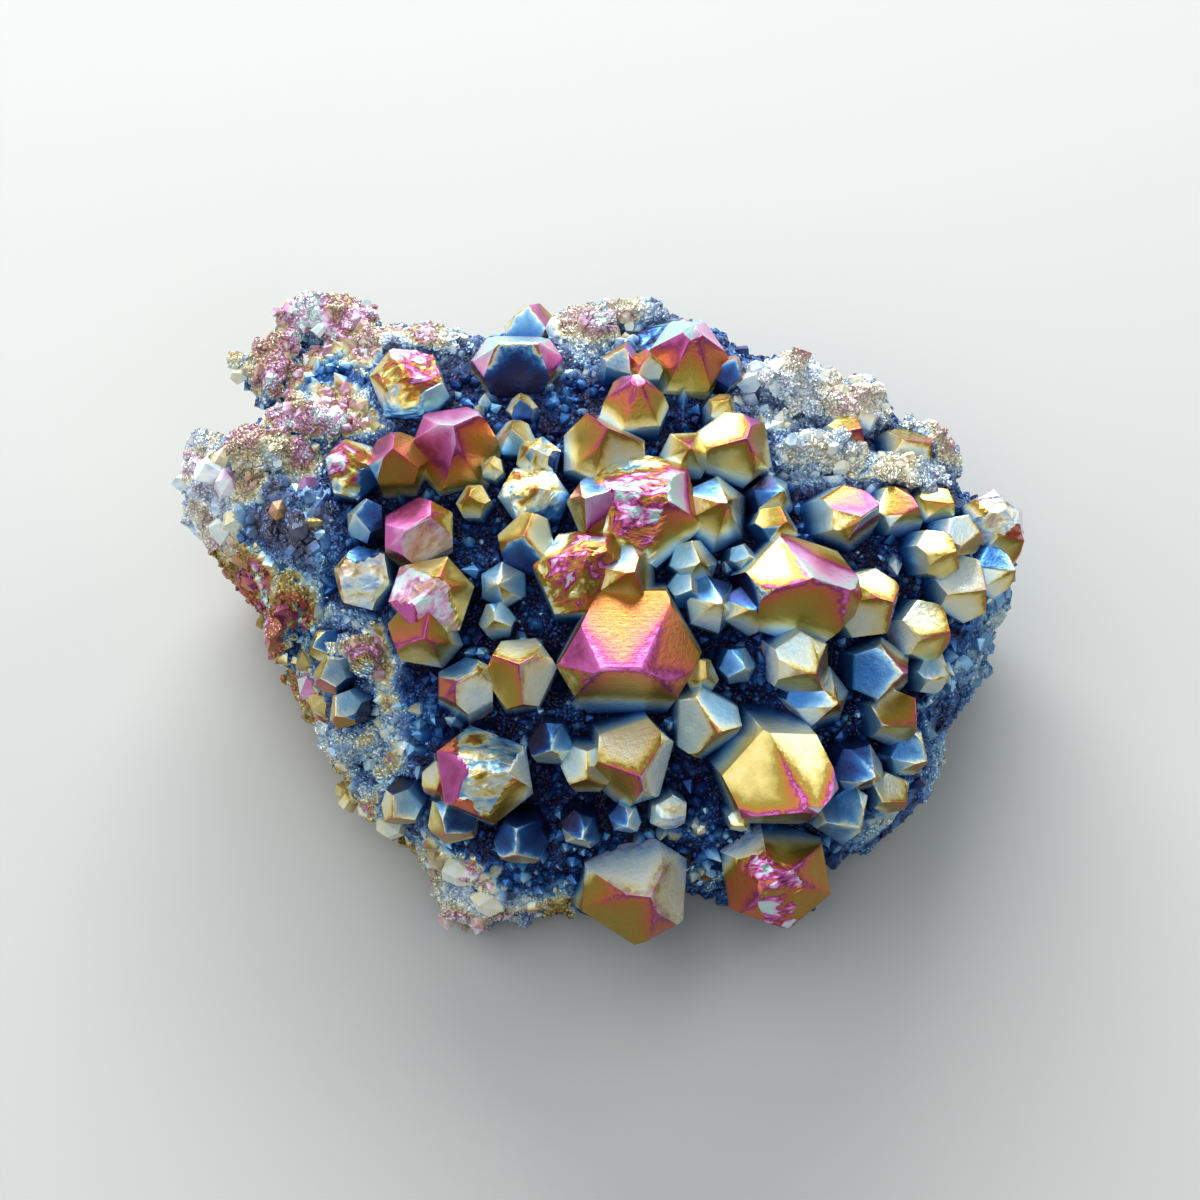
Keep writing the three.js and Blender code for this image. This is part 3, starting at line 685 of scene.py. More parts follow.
def on_triangles(points, triangles, count, spread, weights=None):
    """Chance places on a mesh, evenly by area times weight, and the triangle that each lies on."""
    a, b, c = (points[triangles[:, i]] for i in range(3))
    area = np.linalg.norm(np.cross(b - a, c - a), axis=1)
    share = np.cumsum(area if weights is None else area * weights)
    chosen = np.searchsorted(share, spread.random(count) * share[-1])
    u, v = spread.random((2, count, 1))
    flip = u + v > 1
    u, v = np.where(flip, 1 - u, u), np.where(flip, 1 - v, v)
    return a[chosen] + u * (b - a)[chosen] + v * (c - a)[chosen], chosen


# ---- The film's thickness ----
# Named thicknesses, as shares of the thickest; each has its colour in the list below. Gold and rose are
# darker than the film's own colour, as painted shade for shaded faces, and magenta and lilac lighter, as
# painted light for lit pink highlights.
DUSK, NAVY, BLUE, SKY, SILVER, CREAM, STRAW = 0.0, 0.08, 0.19, 0.30, 0.40, 0.48, 0.55
GOLD, AMBER, COPPER, ROSE, MAGENTA, LILAC, MINT = 0.63, 0.70, 0.76, 0.82, 0.88, 0.94, 1.0
FILM_COLOURS_LIT_AND_SHADED = [
    (DUSK, "dusk", "#1a1230"), (NAVY, "navy", "#17306a"), (BLUE, "blue", "#2f68a8"),
    (SKY, "sky", "#7bafd3"), (SILVER, "silver", "#c2d6d8"), (CREAM, "cream", "#e2e2c6"),
    (STRAW, "straw", "#e0ca7c"), (GOLD, "gold", "#988230"), (AMBER, "amber", "#a8702c"),
    (COPPER, "copper", "#be6048"), (ROSE, "rose", "#88305c"), (MAGENTA, "magenta", "#d466b0"),
    (LILAC, "lilac", "#eab6de"), (MINT, "mint", "#bfe2da"),
]

# The thickest film that a hollow lets in, by height over the matrix dome.
LIMIT_HEIGHTS = [-1.0, 0.0, 1.0, 2.0, 2.8, 3.5, 4.3, 5.2]
LIMIT_FILMS = [0.02, 0.06, 0.15, 0.29, 0.41, 0.53, 0.72, 1.1]
# The same down a crystal, by depth below the tip as a share of its width: it is thin at the foot.
LIMIT_DEPTHS = [0.47, 0.58, 0.67, 0.76, 0.9, 1.12]
LIMIT_FOOT_FILMS = [1.1, 0.74, 0.55, 0.42, 0.25, 0.08]
# What a face has when nothing holds it back, by the height of its crystal's tip over the same dome.
PLATEAU_HEIGHTS = [1.0, 3.0, 4.5, 6.0, 7.5]
PLATEAU_FILMS = [0.30, 0.46, 0.55, 0.64, 0.70]

# What the crystals' faces have, from the side at the twist, anticlockwise; None is left to chance.
# A face's film here also paints its light and shade: dark films such as dusk, gold and rose stand in for
# faces in shade, and pale ones such as cream and straw for faces that a lamp lights.
FACE_FILMS_LIT_AND_SHADED = {
    0: (ROSE, LILAC, None, SILVER, BLUE, LILAC),
    1: (LILAC, MAGENTA, MINT, MINT, SILVER, ROSE),
    2: (MAGENTA, MINT, LILAC, MAGENTA, DUSK, ROSE),
    3: (ROSE, CREAM, GOLD, SILVER, SKY, ROSE),
    4: (STRAW, ROSE, AMBER, COPPER, SILVER, STRAW),
    5: (MAGENTA, MINT, MINT, COPPER, GOLD, AMBER),
    6: (None, None, None, None, NAVY, None),
    7: (COPPER, LILAC, CREAM, MINT, ROSE, SKY),
    8: (ROSE, MAGENTA, COPPER, AMBER, GOLD, GOLD),
    10: (AMBER, MAGENTA, MAGENTA, ROSE, ROSE, AMBER),
    11: (STRAW, STRAW, GOLD, SILVER, SKY, SILVER),
    12: (COPPER, STRAW, GOLD, STRAW, CREAM, AMBER),
    13: (CREAM, CREAM, STRAW, STRAW, GOLD, ROSE),
    14: (GOLD, STRAW, GOLD, GOLD, COPPER, COPPER),
    15: (GOLD, GOLD, GOLD, CREAM, SILVER, AMBER),
    16: (GOLD, COPPER, ROSE, BLUE, GOLD, GOLD),
    17: (SILVER, STRAW, GOLD, CREAM, CREAM, NAVY),
    18: (STRAW, ROSE, STRAW, SILVER, STRAW, SILVER),
    19: (AMBER, LILAC, LILAC, MINT, ROSE, BLUE),
    20: (STRAW, GOLD, AMBER, SILVER, SILVER, SILVER),
    21: (LILAC, LILAC, STRAW, MAGENTA, GOLD, AMBER),
    22: (BLUE, AMBER, STRAW, COPPER, MAGENTA, COPPER),
    23: (SILVER, SILVER, BLUE, CREAM, STRAW, STRAW),
    24: (SKY, SKY, DUSK, NAVY, CREAM, STRAW),
    25: (STRAW, SILVER, GOLD, BLUE, STRAW, ROSE),
    26: (STRAW, STRAW, AMBER, GOLD, GOLD, GOLD),
    27: (ROSE, COPPER, SILVER, CREAM, LILAC, None),
    28: (ROSE, ROSE, AMBER, SILVER, GOLD, COPPER),
    29: (LILAC, ROSE, STRAW, GOLD, STRAW, ROSE),
    30: (LILAC, LILAC, LILAC, GOLD, GOLD, AMBER),
    31: (LILAC, CREAM, SILVER, SILVER, GOLD, GOLD),
    32: (NAVY, NAVY, SKY, CREAM, SKY, NAVY),
    33: (STRAW, ROSE, ROSE, ROSE, AMBER, CREAM),
    34: (SILVER, STRAW, STRAW, GOLD, NAVY, SKY),
    35: (GOLD, LILAC, BLUE, ROSE, GOLD, MAGENTA),
    36: (GOLD, SILVER, SKY, CREAM, STRAW, GOLD),
    37: (CREAM, SILVER, SKY, SKY, STRAW, SKY),
    38: (STRAW, MAGENTA, CREAM, DUSK, GOLD, STRAW),
    39: (CREAM, CREAM, STRAW, ROSE, ROSE, AMBER),
    40: (GOLD, SKY, BLUE, SILVER, CREAM, AMBER),
    41: (AMBER, ROSE, AMBER, GOLD, STRAW, AMBER),
    42: (CREAM, BLUE, LILAC, ROSE, LILAC, CREAM),
    43: (STRAW, CREAM, LILAC, ROSE, GOLD, STRAW),
    44: (SKY, SILVER, SKY, SKY, SKY, STRAW),
    45: (CREAM, SKY, SKY, BLUE, BLUE, CREAM),
    46: (SILVER, SILVER, CREAM, AMBER, COPPER, STRAW),
    47: (CREAM, CREAM, CREAM, GOLD, MAGENTA, STRAW),
    48: (SKY, NAVY, BLUE, SILVER, CREAM, SILVER),
    49: (BLUE, NAVY, NAVY, CREAM, GOLD, SKY),
    50: (GOLD, GOLD, AMBER, COPPER, STRAW, STRAW),
    51: (SKY, BLUE, SILVER, SKY, STRAW, SKY),
    52: (CREAM, CREAM, STRAW, COPPER, ROSE, STRAW),
    53: (AMBER, AMBER, COPPER, CREAM, GOLD, GOLD),
    54: (CREAM, STRAW, GOLD, ROSE, CREAM, SILVER),
    55: (SKY, BLUE, BLUE, SKY, SILVER, SKY),
    56: (SILVER, CREAM, STRAW, AMBER, GOLD, SILVER),
    57: (ROSE, SKY, BLUE, NAVY, COPPER, ROSE),
    58: (SILVER, SILVER, SKY, SKY, SILVER, STRAW),
    59: (SKY, CREAM, STRAW, LILAC, COPPER, BLUE),
    60: (SILVER, BLUE, AMBER, AMBER, SILVER, SKY),
    61: (SILVER, SKY, BLUE, SILVER, STRAW, STRAW),
    62: (SKY, CREAM, STRAW, COPPER, GOLD, NAVY),
    63: (SKY, SILVER, SILVER, GOLD, STRAW, SKY),
    64: (CREAM, GOLD, GOLD, SKY, STRAW, CREAM),
    65: (BLUE, NAVY, DUSK, SKY, SILVER, SILVER),
    66: (SILVER, SILVER, AMBER, ROSE, AMBER, GOLD),
    67: (SILVER, SILVER, BLUE, SKY, GOLD, STRAW),
    68: (CREAM, SILVER, GOLD, SKY, SILVER, SILVER),
    69: (SILVER, NAVY, NAVY, SKY, GOLD, SKY),
    70: (SILVER, SILVER, SILVER, SKY, GOLD, GOLD),
    71: (GOLD, CREAM, CREAM, AMBER, AMBER, NAVY),
    72: (CREAM, STRAW, GOLD, STRAW, ROSE, ROSE),
    73: (SILVER, SILVER, CREAM, SKY, GOLD, STRAW),
    74: (SILVER, SILVER, SILVER, SILVER, SILVER, SILVER),
    75: (SKY, NAVY, CREAM, GOLD, GOLD, SKY),
    76: (SKY, SKY, NAVY, BLUE, BLUE, SKY),
    77: (STRAW, SKY, BLUE, SILVER, BLUE, STRAW),
    78: (NAVY, BLUE, STRAW, GOLD, GOLD, GOLD),
    79: (NAVY, NAVY, DUSK, SILVER, SILVER, NAVY),
    80: (NAVY, NAVY, NAVY, GOLD, GOLD, NAVY),
    81: (GOLD, STRAW, CREAM, AMBER, GOLD, GOLD),
    82: (CREAM, CREAM, SILVER, GOLD, GOLD, AMBER),
    84: (None, None, SKY, None, None, None),
    87: (None, None, None, None, NAVY, None),
    89: (BLUE, None, None, None, None, None),
}

# The middle of the colours on a chipped tip.
CHIP_FILMS = {
    1: 0.14, 7: 0.80, 17: 0.46, 19: 0.88, 20: 0.50, 21: 0.83, 30: 0.56, 35: 0.80, 42: 0.46, 43: 0.93,
    66: 0.42, 74: 0.42, 81: 0.84,
}

# The film on each broken lump's crest and how frosted it is, in the order of LUMPS.
LUMP_FILMS = np.array([
    0.90, 0.88, 0.66, 0.56, 0.50, 0.52, 0.52, 0.64, 0.47, 0.48, 0.62, 0.66, 0.86, 0.14, 0.81, 0.52,
    0.58, 0.62, 0.62, 0.34, 0.30,
])
LUMP_FROSTS = np.array([
    1.0, 1.0, 1.4, 1.6, 1.6, 2.0, 1.8, 1.4, 1.5, 1.4, 1.9, 1.1, 1.0, 0.4, 0.0, 0.9,
    0.8, 0.8, 1.4, 0.4, 0.4,
])

# Larger broken blocks that sit on the lumps: across, up, width, film, slope across and slope up.
# Several stand where the crust glints, and their pale films, such as lilac and cream, are partly a painted
# highlight.
BLOCKS = [
    (-30.3, 10.6, 3.0, LILAC, 0.1, 0.3),
    (-29.6, 7.8, 2.4, CREAM, 0.2, 0.3),
    (-31.8, 11.6, 3.2, SILVER, -0.5, 0.6),
    (-31.2, 7.0, 2.4, SILVER, -0.5, -0.1),
    (-26.0, 8.4, 2.0, AMBER, -0.3, 0.1),
    (-23.2, 7.4, 2.4, GOLD, 0.2, 0.2),
    (-23.7, 10.4, 2.2, MAGENTA, 0.0, 0.5),
    (-26.8, 2.6, 2.6, 0.79, -0.8, 0.2),
    (-25.9, 0.2, 2.2, 0.80, -0.8, 0.0),
    (-24.4, 1.2, 1.8, COPPER, -0.2, 0.2),
    (-23.8, -0.6, 1.6, MAGENTA, 0.1, 0.3),
    (-24.0, -3.2, 2.4, STRAW, -0.4, 0.3),
    (-23.6, -5.4, 2.6, LILAC, -0.3, 0.4),
    (-22.8, -7.0, 2.4, STRAW, 0.0, 0.3),
    (-22.6, -8.6, 2.2, COPPER, -0.4, 0.0),
    (-17.2, -16.8, 2.6, CREAM, -0.3, 0.2),
    (-11.6, -20.2, 2.8, CREAM, -0.1, 0.5),
    (-9.4, -23.0, 2.8, CREAM, -0.2, -0.3),
    (-13.4, -19.4, 2.0, GOLD, -0.5, 0.0),
]
BLOCK_SINK = 0.45
BLOCK_STOUTNESS = 0.9

# Faces turned to a pale satin, as crystal and side: the chips (side 6) are etched breaks, and the flat
# faces are painted light, paled to stand in for a lamp's bright reflection on them.
ETCHED_AND_LIT_FACES = {
    (30, 6), (33, 4), (42, 6), (43, 6), (46, 0), (48, 4), (52, 1), (54, 4), (56, 1), (60, 4), (61, 3),
    (66, 0), (68, 4), (74, 6), (81, 2), (82, 0), (82, 1), (82, 2),
}

# Crystals along whose edges the film thickens most, and how many times as much.
ROSY_EDGES = {38: 1.4, 60: 1.4, 72: 1.9}

# Crystals whose film stays thick further down to the foot, and by what share of their width.
THICK_TO_THE_FOOT = {2, 5, 10, 16, 33}
FOOT_SHIFT = 0.3

# The wall's film: its middle, how much it falls from the middle to the right, over the right half and
# up the face, and how much it changes in patches 4.5 mm wide and in specks a millimetre wide.
WALL_FILM = 0.52
WALL_FALL_ACROSS = 0.2
WALL_FALL_RIGHT = 0.1
WALL_FALL_UP = 0.18
WALL_PATCHES = 0.5
WALL_SPECKS = 0.2

# How much a lump's film changes from place to place, how much less on the right, and its film in cracks.
LUMP_SWING = 1.3
LUMP_CALM = 0.6
CRACK_FILM = 0.13

# The distance to an edge where there is none, in millimetres.
NO_EDGE = 9.0

# Roughness of the crystals' faces, before grit is added, and of the bare matrix.
CRYSTAL_ROUGHNESS = 0.13
MATRIX_ROUGHNESS = 0.4


def edge_distances(local, prism, start):
    """For points in a crystal's own frame: how far inside each of its twelve planes they lie, sorted."""
    depth = -local[:, 2]
    angle = np.radians(60 * np.arange(6))
    reach = local[:, :1] * np.cos(angle) + local[:, 1:2] * np.sin(angle)
    pyramid = ((depth[:, None] + start) / QUARTZ_SLOPE - reach) * math.sin(math.atan(QUARTZ_SLOPE))
    return np.sort(np.concatenate([pyramid, prism - reach], axis=1), axis=1)


def face_films(index, sides, tip_height):
    """The film that each side of a crystal has where nothing holds it back; on the listed faces it also
    paints their light and shade.
    """
    plain = np.interp(tip_height, PLATEAU_HEIGHTS, PLATEAU_FILMS)
    films = plain + 0.16 * (chance(index, 60 + np.arange(SIDES)) - 0.5)
    for side, film in enumerate(FACE_FILMS_LIT_AND_SHADED.get(index, ())):
        if film is not None:
            films[side] = film
    films[CHIP] = CHIP_FILMS.get(index, films[:CHIP].mean() + 0.06)
    return films[sides]


def wall_share(across, up, height):
    """1 on the wall round the show face, 0 on the show face itself: the wall starts near the rim, or
    where a place lies below the dome."""
    past_rim = np.hypot(across, up) / rim_radius(np.arctan2(up, across))
    return np.clip(np.maximum((-height - 0.5) / 2.5, (past_rim - 0.9) / 0.07), 0, 1)


def lump_nearness(points):
    """How far each point is from each lump's middle, as a share of its half sizes."""
    places = np.stack(to_face(points), axis=1)
    return np.stack([
        np.linalg.norm((places - middle) / (np.array(half) + 0.6), axis=1) for middle, half in LUMPS
    ], axis=1)


def crest_values(points):
    """The film and the frost on the crests near each point: the lumps' own, the nearest counting most."""
    weight = np.exp(-6.0 * lump_nearness(points))
    weight /= weight.sum(axis=1)[:, None]
    return weight @ LUMP_FILMS, weight @ LUMP_FROSTS


def nearness_to_lumps(points):
    """1 on the broken lumps and 0 half a lump's size away from them."""
    return np.clip((1.5 - lump_nearness(points).min(axis=1)) / 0.4, 0, 1)


def corner_numbers(points, triangles, numbers, horizon):
    """For each corner of each triangle: film, distance to the nearest crystal edge, how much thicker the
    film is along that edge, roughness, whether it is on a break, frost (on listed flat faces a paleness
    that is painted light), and the place in the crystal's own frame. The film is the lesser of what the
    hollow lets in and what the face has, and on listed faces it also paints light and shade."""
    corners = points[triangles].reshape(-1, 3)
    ids = np.repeat(numbers, 3)
    across, up, out = to_face(corners)
    height = out - dome_out(across, up, FLOOR_RISE, 0)
    open_sky = horizon.openness(points)[triangles].reshape(-1)
    limit = np.interp(height, LIMIT_HEIGHTS, LIMIT_FILMS) + 0.3 * (open_sky - 0.6)
    limit += 0.10 * (clouds(corners, 2.6, 7) - 0.5)
    limit += np.where(ids == MATRIX_FACE, 0.16 * (clouds(corners, 0.7, 14) - 0.5), 0)
    plateau = 0.62 + 0.3 * (clouds(corners, 1.6, 6) - 0.5)
    values = {
        "edge": np.full(len(corners), NO_EDGE),
        "ridge": np.zeros(len(corners)),
        "rough": np.full(len(corners), MATRIX_ROUGHNESS),
        "broken": np.zeros(len(corners)),
        "frost": np.zeros(len(corners)),
        "local": corners.copy(),
    }
    for crystal in placed_crystals():
        mine = np.flatnonzero(ids // SIDES == crystal[0])
        if len(mine):
            set_crystal_numbers(crystal, mine, ids, corners, height, limit, plateau, values)
    film = soft_least(limit, plateau, 0.04)
    film, values["frost"] = ground_film(points, triangles, ids, height, open_sky, film, values["frost"])
    return {"film": np.clip(film, 0, 1), **values}


def set_crystal_numbers(crystal, mine, ids, corners, height, limit, plateau, values):
    """Sets one crystal's corners: a face's film swells by a little towards its edges and down from the
    tip, and is held thin at the foot. The film thickens along edges on tall and wide crystals most."""
    index, tip, turn, width, _, faces = crystal
    own = (corners[mine] - tip) @ turn
    prism, start = crystal_shape(index, width, faces)
    near = edge_distances(own, prism, start)
    side = ids[mine] % SIDES
    tip_across, tip_up, tip_out = to_face(tip)
    tip_height = tip_out - dome_out(tip_across, tip_up, FLOOR_RISE, 0)
    edge = np.where(side == CHIP, NO_EDGE, near[:, 1] * (6.0 / width) ** 0.7)
    rise = 0.07 * (0.4 + own[:, 2] / (0.6 * width)) + 0.05 * np.exp(-edge / 0.6)
    plain = face_films(index, side, tip_height)
    plateau[mine] = plain + rise * np.clip(1.6 - 1.5 * plain, 0, 1)
    thick = index in THICK_TO_THE_FOOT
    down = -own[:, 2] / width - (FOOT_SHIFT if thick else 0)
    foot = np.interp(down, LIMIT_DEPTHS, LIMIT_FOOT_FILMS)
    foot = foot + 0.1 * (clouds(corners[mine], 1.3, 12) - 0.5)
    limit[mine] = soft_least(limit[mine] + (0.45 if thick else 0.12), foot, 0.03)
    ridge = np.clip((height[mine] - 2.2) / 2.5, 0, 1) * (0.8 + 0.5 * chance(index, 80))
    ridge *= np.clip(width / 7, 0.3, 1) * np.clip(1.3 + own[:, 2] / (0.4 * width), 0, 1)
    values["edge"][mine] = edge
    values["ridge"][mine] = ridge * ROSY_EDGES.get(index, 1.0)
    values["rough"][mine] = CRYSTAL_ROUGHNESS
    values["broken"][mine] = side == CHIP
    # The listed faces turn pale: etched breaks on the chips, painted light on the flat faces.
    values["frost"][mine] = np.isin(side, [face for etched, face in ETCHED_AND_LIT_FACES if etched == index])
    values["local"][mine] = own + 40.0 * chance(index, np.array([70, 71, 72]))


def ground_film(points, triangles, ids, height, open_sky, film, frost):
    """The film and the frost with the ground's own put in: the wall's film goes from gold on the left to
    blue on the right. A lump has its own film on its crests, which changes most from place to place on
    the left, and next to none in its cracks."""
    corners = points[triangles].reshape(-1, 3)
    across, up, _ = to_face(corners)
    wall = wall_share(across, up, height)
    wall_film = WALL_FILM - WALL_FALL_ACROSS * across / 33 - WALL_FALL_UP * np.clip(up / 20, 0, 1)
    wall_film -= WALL_FALL_RIGHT * np.clip(across / 15, 0, 1)
    wall_film += WALL_PATCHES * (clouds(corners, 4.5, 8) - 0.5)
    wall_film += WALL_SPECKS * (clouds(corners, 1.1, 9) - 0.5)
    film = np.where(ids < 0, film + wall * (wall_film - film), film)
    crest = np.clip(3.6 * open_sky - 1.7, 0, 1)
    own, icing = (values[triangles].reshape(-1) for values in crest_values(points))
    swing = LUMP_SWING - LUMP_CALM * np.clip(across / 10, 0, 1)
    own = own + swing * (1 - abs(own - 0.55)) * (clouds(corners, 2.4, 10) - 0.5)
    lump_film = np.minimum(CRACK_FILM, own) + np.maximum(own - CRACK_FILM, 0) * crest
    near = nearness_to_lumps(points)[triangles].reshape(-1)
    film = np.where(ids == MATRIX_FACE, film + near * (lump_film - film), film)
    below = np.clip((-height - 1.5) / 2, 0, 1)
    film = np.where(ids == LUMP_FACE, lump_film + below * (wall_film - lump_film), film)
    frost = np.where(ids < 0, np.maximum(near * icing, 0.2 * wall) * (0.3 + 0.7 * crest), frost)
    return film, frost


def soft_least(first, second, blend):
    """The lesser of two, rounded where they cross."""
    return -blend * np.logaddexp(-first / blend, -second / blend)


# ---- Materials ----
GLOSSY_FINISH = "titanium_film_on_quartz"
SUGARY_FINISH = "titanium_film_on_sugary_quartz"

# Patterns read places in millimetres. Distances from an edge, in millimetres: where the film thickens,
# where it turns rose and where the edge is worn.
GLOW_WIDTH = 0.9
ROSE_WIDTH = 0.3
WEAR_WIDTH = 0.1

# Heights of the relief, in metres.
GRIT_RELIEF = 0.00005
WEAR_RELIEF = 0.00003
LINE_RELIEF = 0.000015
BREAK_RELIEF = 0.0002
GRAIN_RELIEF = 0.0003
FACET_RELIEF = 0.0001

# The film is thin enough for the quartz to show through, so it is only partly a mirror.
FILM_MIRROR = 0.68
SUGAR_MIRROR = 0.5
# The white of etched faces, which on the listed flat faces is painted light.
ETCHED_AND_LIT_WHITE = "#f4f4f2"
MILKY_WHITE = "#f1edf0"


def add(tree, kind, settings=None, inputs=None, output=0):
    """Adds a node, with its settings by name and a constant or a socket for each input, and gives the
    output asked for."""
    node = tree.nodes.new(kind)
    for name, value in (settings or {}).items():
        setattr(node, name, value)
    for name, value in (inputs or {}).items():
        if isinstance(value, bpy.types.NodeSocket):
            tree.links.new(value, node.inputs[name])
        else:
            node.inputs[name].default_value = value
    return node.outputs[output] if len(node.outputs) else None


def set_film_stops(ramp, colours):
    """Gives a colour ramp the film's colours: interference takes it through them as it thickens. The gold
    and rose stops are darkened as painted shade, and the magenta and lilac stops lightened as painted
    light.
    """
    stops = ramp.color_ramp.elements
    while len(stops) < len(FILM_COLOURS_LIT_AND_SHADED):
        stops.new(0.5)
    for stop, (position, name, _) in zip(stops, FILM_COLOURS_LIT_AND_SHADED):
        stop.position = position
        stop.color = tuple(getattr(colours, name))


def empty_material(name):
    """A new material with no nodes."""
    material = bpy.data.materials.new(name)
    material.use_nodes = True
    material.node_tree.nodes.clear()
    return material


def quartz_faces(colours):
    """Clear quartz with a titanium film laid on in a vacuum: a thin mirror whose colour follows its
    thickness. It pools along the edges, so that faces have rosy borders, and is drawn out in streaks
    where a tip is chipped. Faces carry faint growth lines across the crystal and very fine grit."""
    material = empty_material(GLOSSY_FINISH)
    tree = material.node_tree
    local = add(tree, "ShaderNodeAttribute", {"attribute_name": "local"}, output="Vector")
    film, edge, ridge, rough, broken = (
        add(tree, "ShaderNodeAttribute", {"attribute_name": name}, output="Fac")
        for name in ("film", "edge", "ridge", "rough", "broken")
    )

    # Clouds about a millimetre across, and streaks on chips about twice as long as they are wide.
    mottle = add(tree, "ShaderNodeTexNoise", {}, {
        "Vector": local, "Scale": 0.9, "Detail": 5.0, "Roughness": 0.6,
    })
    drawn = add(tree, "ShaderNodeMapping", {}, {
        "Vector": local, "Rotation": (0.3, 0.4, 0.9), "Scale": (0.45, 1.0, 0.8),
    })
    streak = add(tree, "ShaderNodeTexNoise", {}, {
        "Vector": drawn, "Scale": 0.8, "Detail": 4.0, "Roughness": 0.55, "Distortion": 0.4,
    })
    streak = add(tree, "ShaderNodeMath", {"operation": "MULTIPLY_ADD"}, {0: streak, 1: 1.5, 2: -0.75})
    streak = add(tree, "ShaderNodeMath", {"operation": "MULTIPLY"}, {0: streak, 1: broken})
    even = add(tree, "ShaderNodeMath", {"operation": "MULTIPLY_ADD"}, {0: mottle, 1: 0.09, 2: film})
    even = add(tree, "ShaderNodeMath", {"operation": "ADD"}, {0: even, 1: -0.045})
    even = add(tree, "ShaderNodeMath", {"operation": "ADD"}, {0: even, 1: streak})

    # Within a millimetre of an edge the film thickens a little, and so turns from pale to gold.
    glow = add(tree, "ShaderNodeMath", {"operation": "MULTIPLY"}, {0: edge, 1: -1 / GLOW_WIDTH})
    glow = add(tree, "ShaderNodeMath", {"operation": "EXPONENT"}, {0: glow})
    glow = add(tree, "ShaderNodeMath", {"operation": "MULTIPLY"}, {0: glow, 1: ridge})
    even = add(tree, "ShaderNodeMath", {"operation": "MULTIPLY_ADD"}, {0: glow, 1: 0.08, 2: even})

    # Right along the edge it thickens to rose, in a line 0.3 mm wide that comes and goes.
    close = add(tree, "ShaderNodeMath", {"operation": "MULTIPLY"}, {0: edge, 1: -1 / ROSE_WIDTH})
    close = add(tree, "ShaderNodeMath", {"operation": "EXPONENT"}, {0: close})
    fitful = add(tree, "ShaderNodeTexNoise", {}, {
        "Vector": local, "Scale": 1.6, "Detail": 4.0, "Roughness": 0.7,
    })
    fitful = add(tree, "ShaderNodeMath", {"operation": "MULTIPLY_ADD", "use_clamp": True}, {
        0: fitful, 1: 3.4, 2: -1.0,
    })
    gain = add(tree, "ShaderNodeMath", {"operation": "MULTIPLY"}, {0: close, 1: ridge})
    gain = add(tree, "ShaderNodeMath", {"operation": "MULTIPLY", "use_clamp": True}, {0: gain, 1: fitful})
    room = add(tree, "ShaderNodeMath", {"operation": "SUBTRACT"}, {0: MAGENTA, 1: even})
    room = add(tree, "ShaderNodeMath", {"operation": "MAXIMUM"}, {0: room, 1: 0.0})
    thickness = add(tree, "ShaderNodeMath", {"operation": "MULTIPLY_ADD"}, {0: gain, 1: room, 2: even})
    colour = add(tree, "ShaderNodeValToRGB", {}, {"Fac": thickness})
    set_film_stops(colour.node, colours)

    # Relief, in metres: grit, worn edges, growth lines and the ribs of the breaks.
    grit = add(tree, "ShaderNodeTexNoise", {}, {
        "Vector": local, "Scale": 2.4, "Detail": 6.0, "Roughness": 0.7,
    })
    relief = add(tree, "ShaderNodeBump", {}, {"Height": grit, "Distance": GRIT_RELIEF})
    worn = add(tree, "ShaderNodeMath", {"operation": "MULTIPLY"}, {0: edge, 1: -1 / WEAR_WIDTH})
    worn = add(tree, "ShaderNodeMath", {"operation": "EXPONENT"}, {0: worn})
    relief = add(tree, "ShaderNodeBump", {"invert": True}, {
        "Height": worn, "Distance": WEAR_RELIEF, "Normal": relief,
    })
    across = add(tree, "ShaderNodeMapping", {}, {"Vector": local, "Scale": (0.25, 0.25, 8.0)})
    lines = add(tree, "ShaderNodeTexNoise", {}, {
        "Vector": across, "Scale": 1.0, "Detail": 3.0, "Roughness": 0.6,
    })
    for height, distance in ((lines, LINE_RELIEF), (streak, BREAK_RELIEF)):
        relief = add(tree, "ShaderNodeBump", {}, {"Height": height, "Distance": distance, "Normal": relief})
    gloss = add(tree, "ShaderNodeMath", {"operation": "MULTIPLY_ADD"}, {0: mottle, 1: 0.16, 2: rough})
    gloss = add(tree, "ShaderNodeMath", {"operation": "ADD"}, {0: gloss, 1: -0.06})

    # Etched faces scatter light in drawn-out streaks, so they are paler and less of a mirror. On the listed
    # flat faces this paleness is painted light, standing in for a lamp's bright reflection.
    frost = add(tree, "ShaderNodeAttribute", {"attribute_name": "frost"}, output="Fac")
    etch_and_lit = add(tree, "ShaderNodeTexNoise", {}, {
        "Vector": drawn, "Scale": 1.4, "Detail": 5.0, "Roughness": 0.65,
    })
    etch_and_lit = add(tree, "ShaderNodeMath", {"operation": "MULTIPLY_ADD", "use_clamp": True}, {
        0: etch_and_lit, 1: 2.6, 2: -0.75,
    })
    etch_and_lit = add(tree, "ShaderNodeMath", {"operation": "MULTIPLY"}, {0: etch_and_lit, 1: frost})
    white = add(tree, "ShaderNodeMath", {"operation": "MULTIPLY"}, {0: etch_and_lit, 1: 0.55})
    colour = add(tree, "ShaderNodeMix", {"data_type": "RGBA"}, {
        "Factor": white, "A": colour, "B": linear(ETCHED_AND_LIT_WHITE),
    }, "Result")
    mirror = add(tree, "ShaderNodeMath", {"operation": "MULTIPLY_ADD"}, {
        0: frost, 1: -0.5, 2: FILM_MIRROR,
    })
    gloss = add(tree, "ShaderNodeMath", {"operation": "MULTIPLY_ADD"}, {0: frost, 1: 0.12, 2: gloss})
    shader = add(tree, "ShaderNodeBsdfPrincipled", {}, {
        "Base Color": colour, "Metallic": mirror, "Roughness": gloss, "Normal": relief,
    })
    add(tree, "ShaderNodeOutputMaterial", {}, {"Surface": shader})
    return material


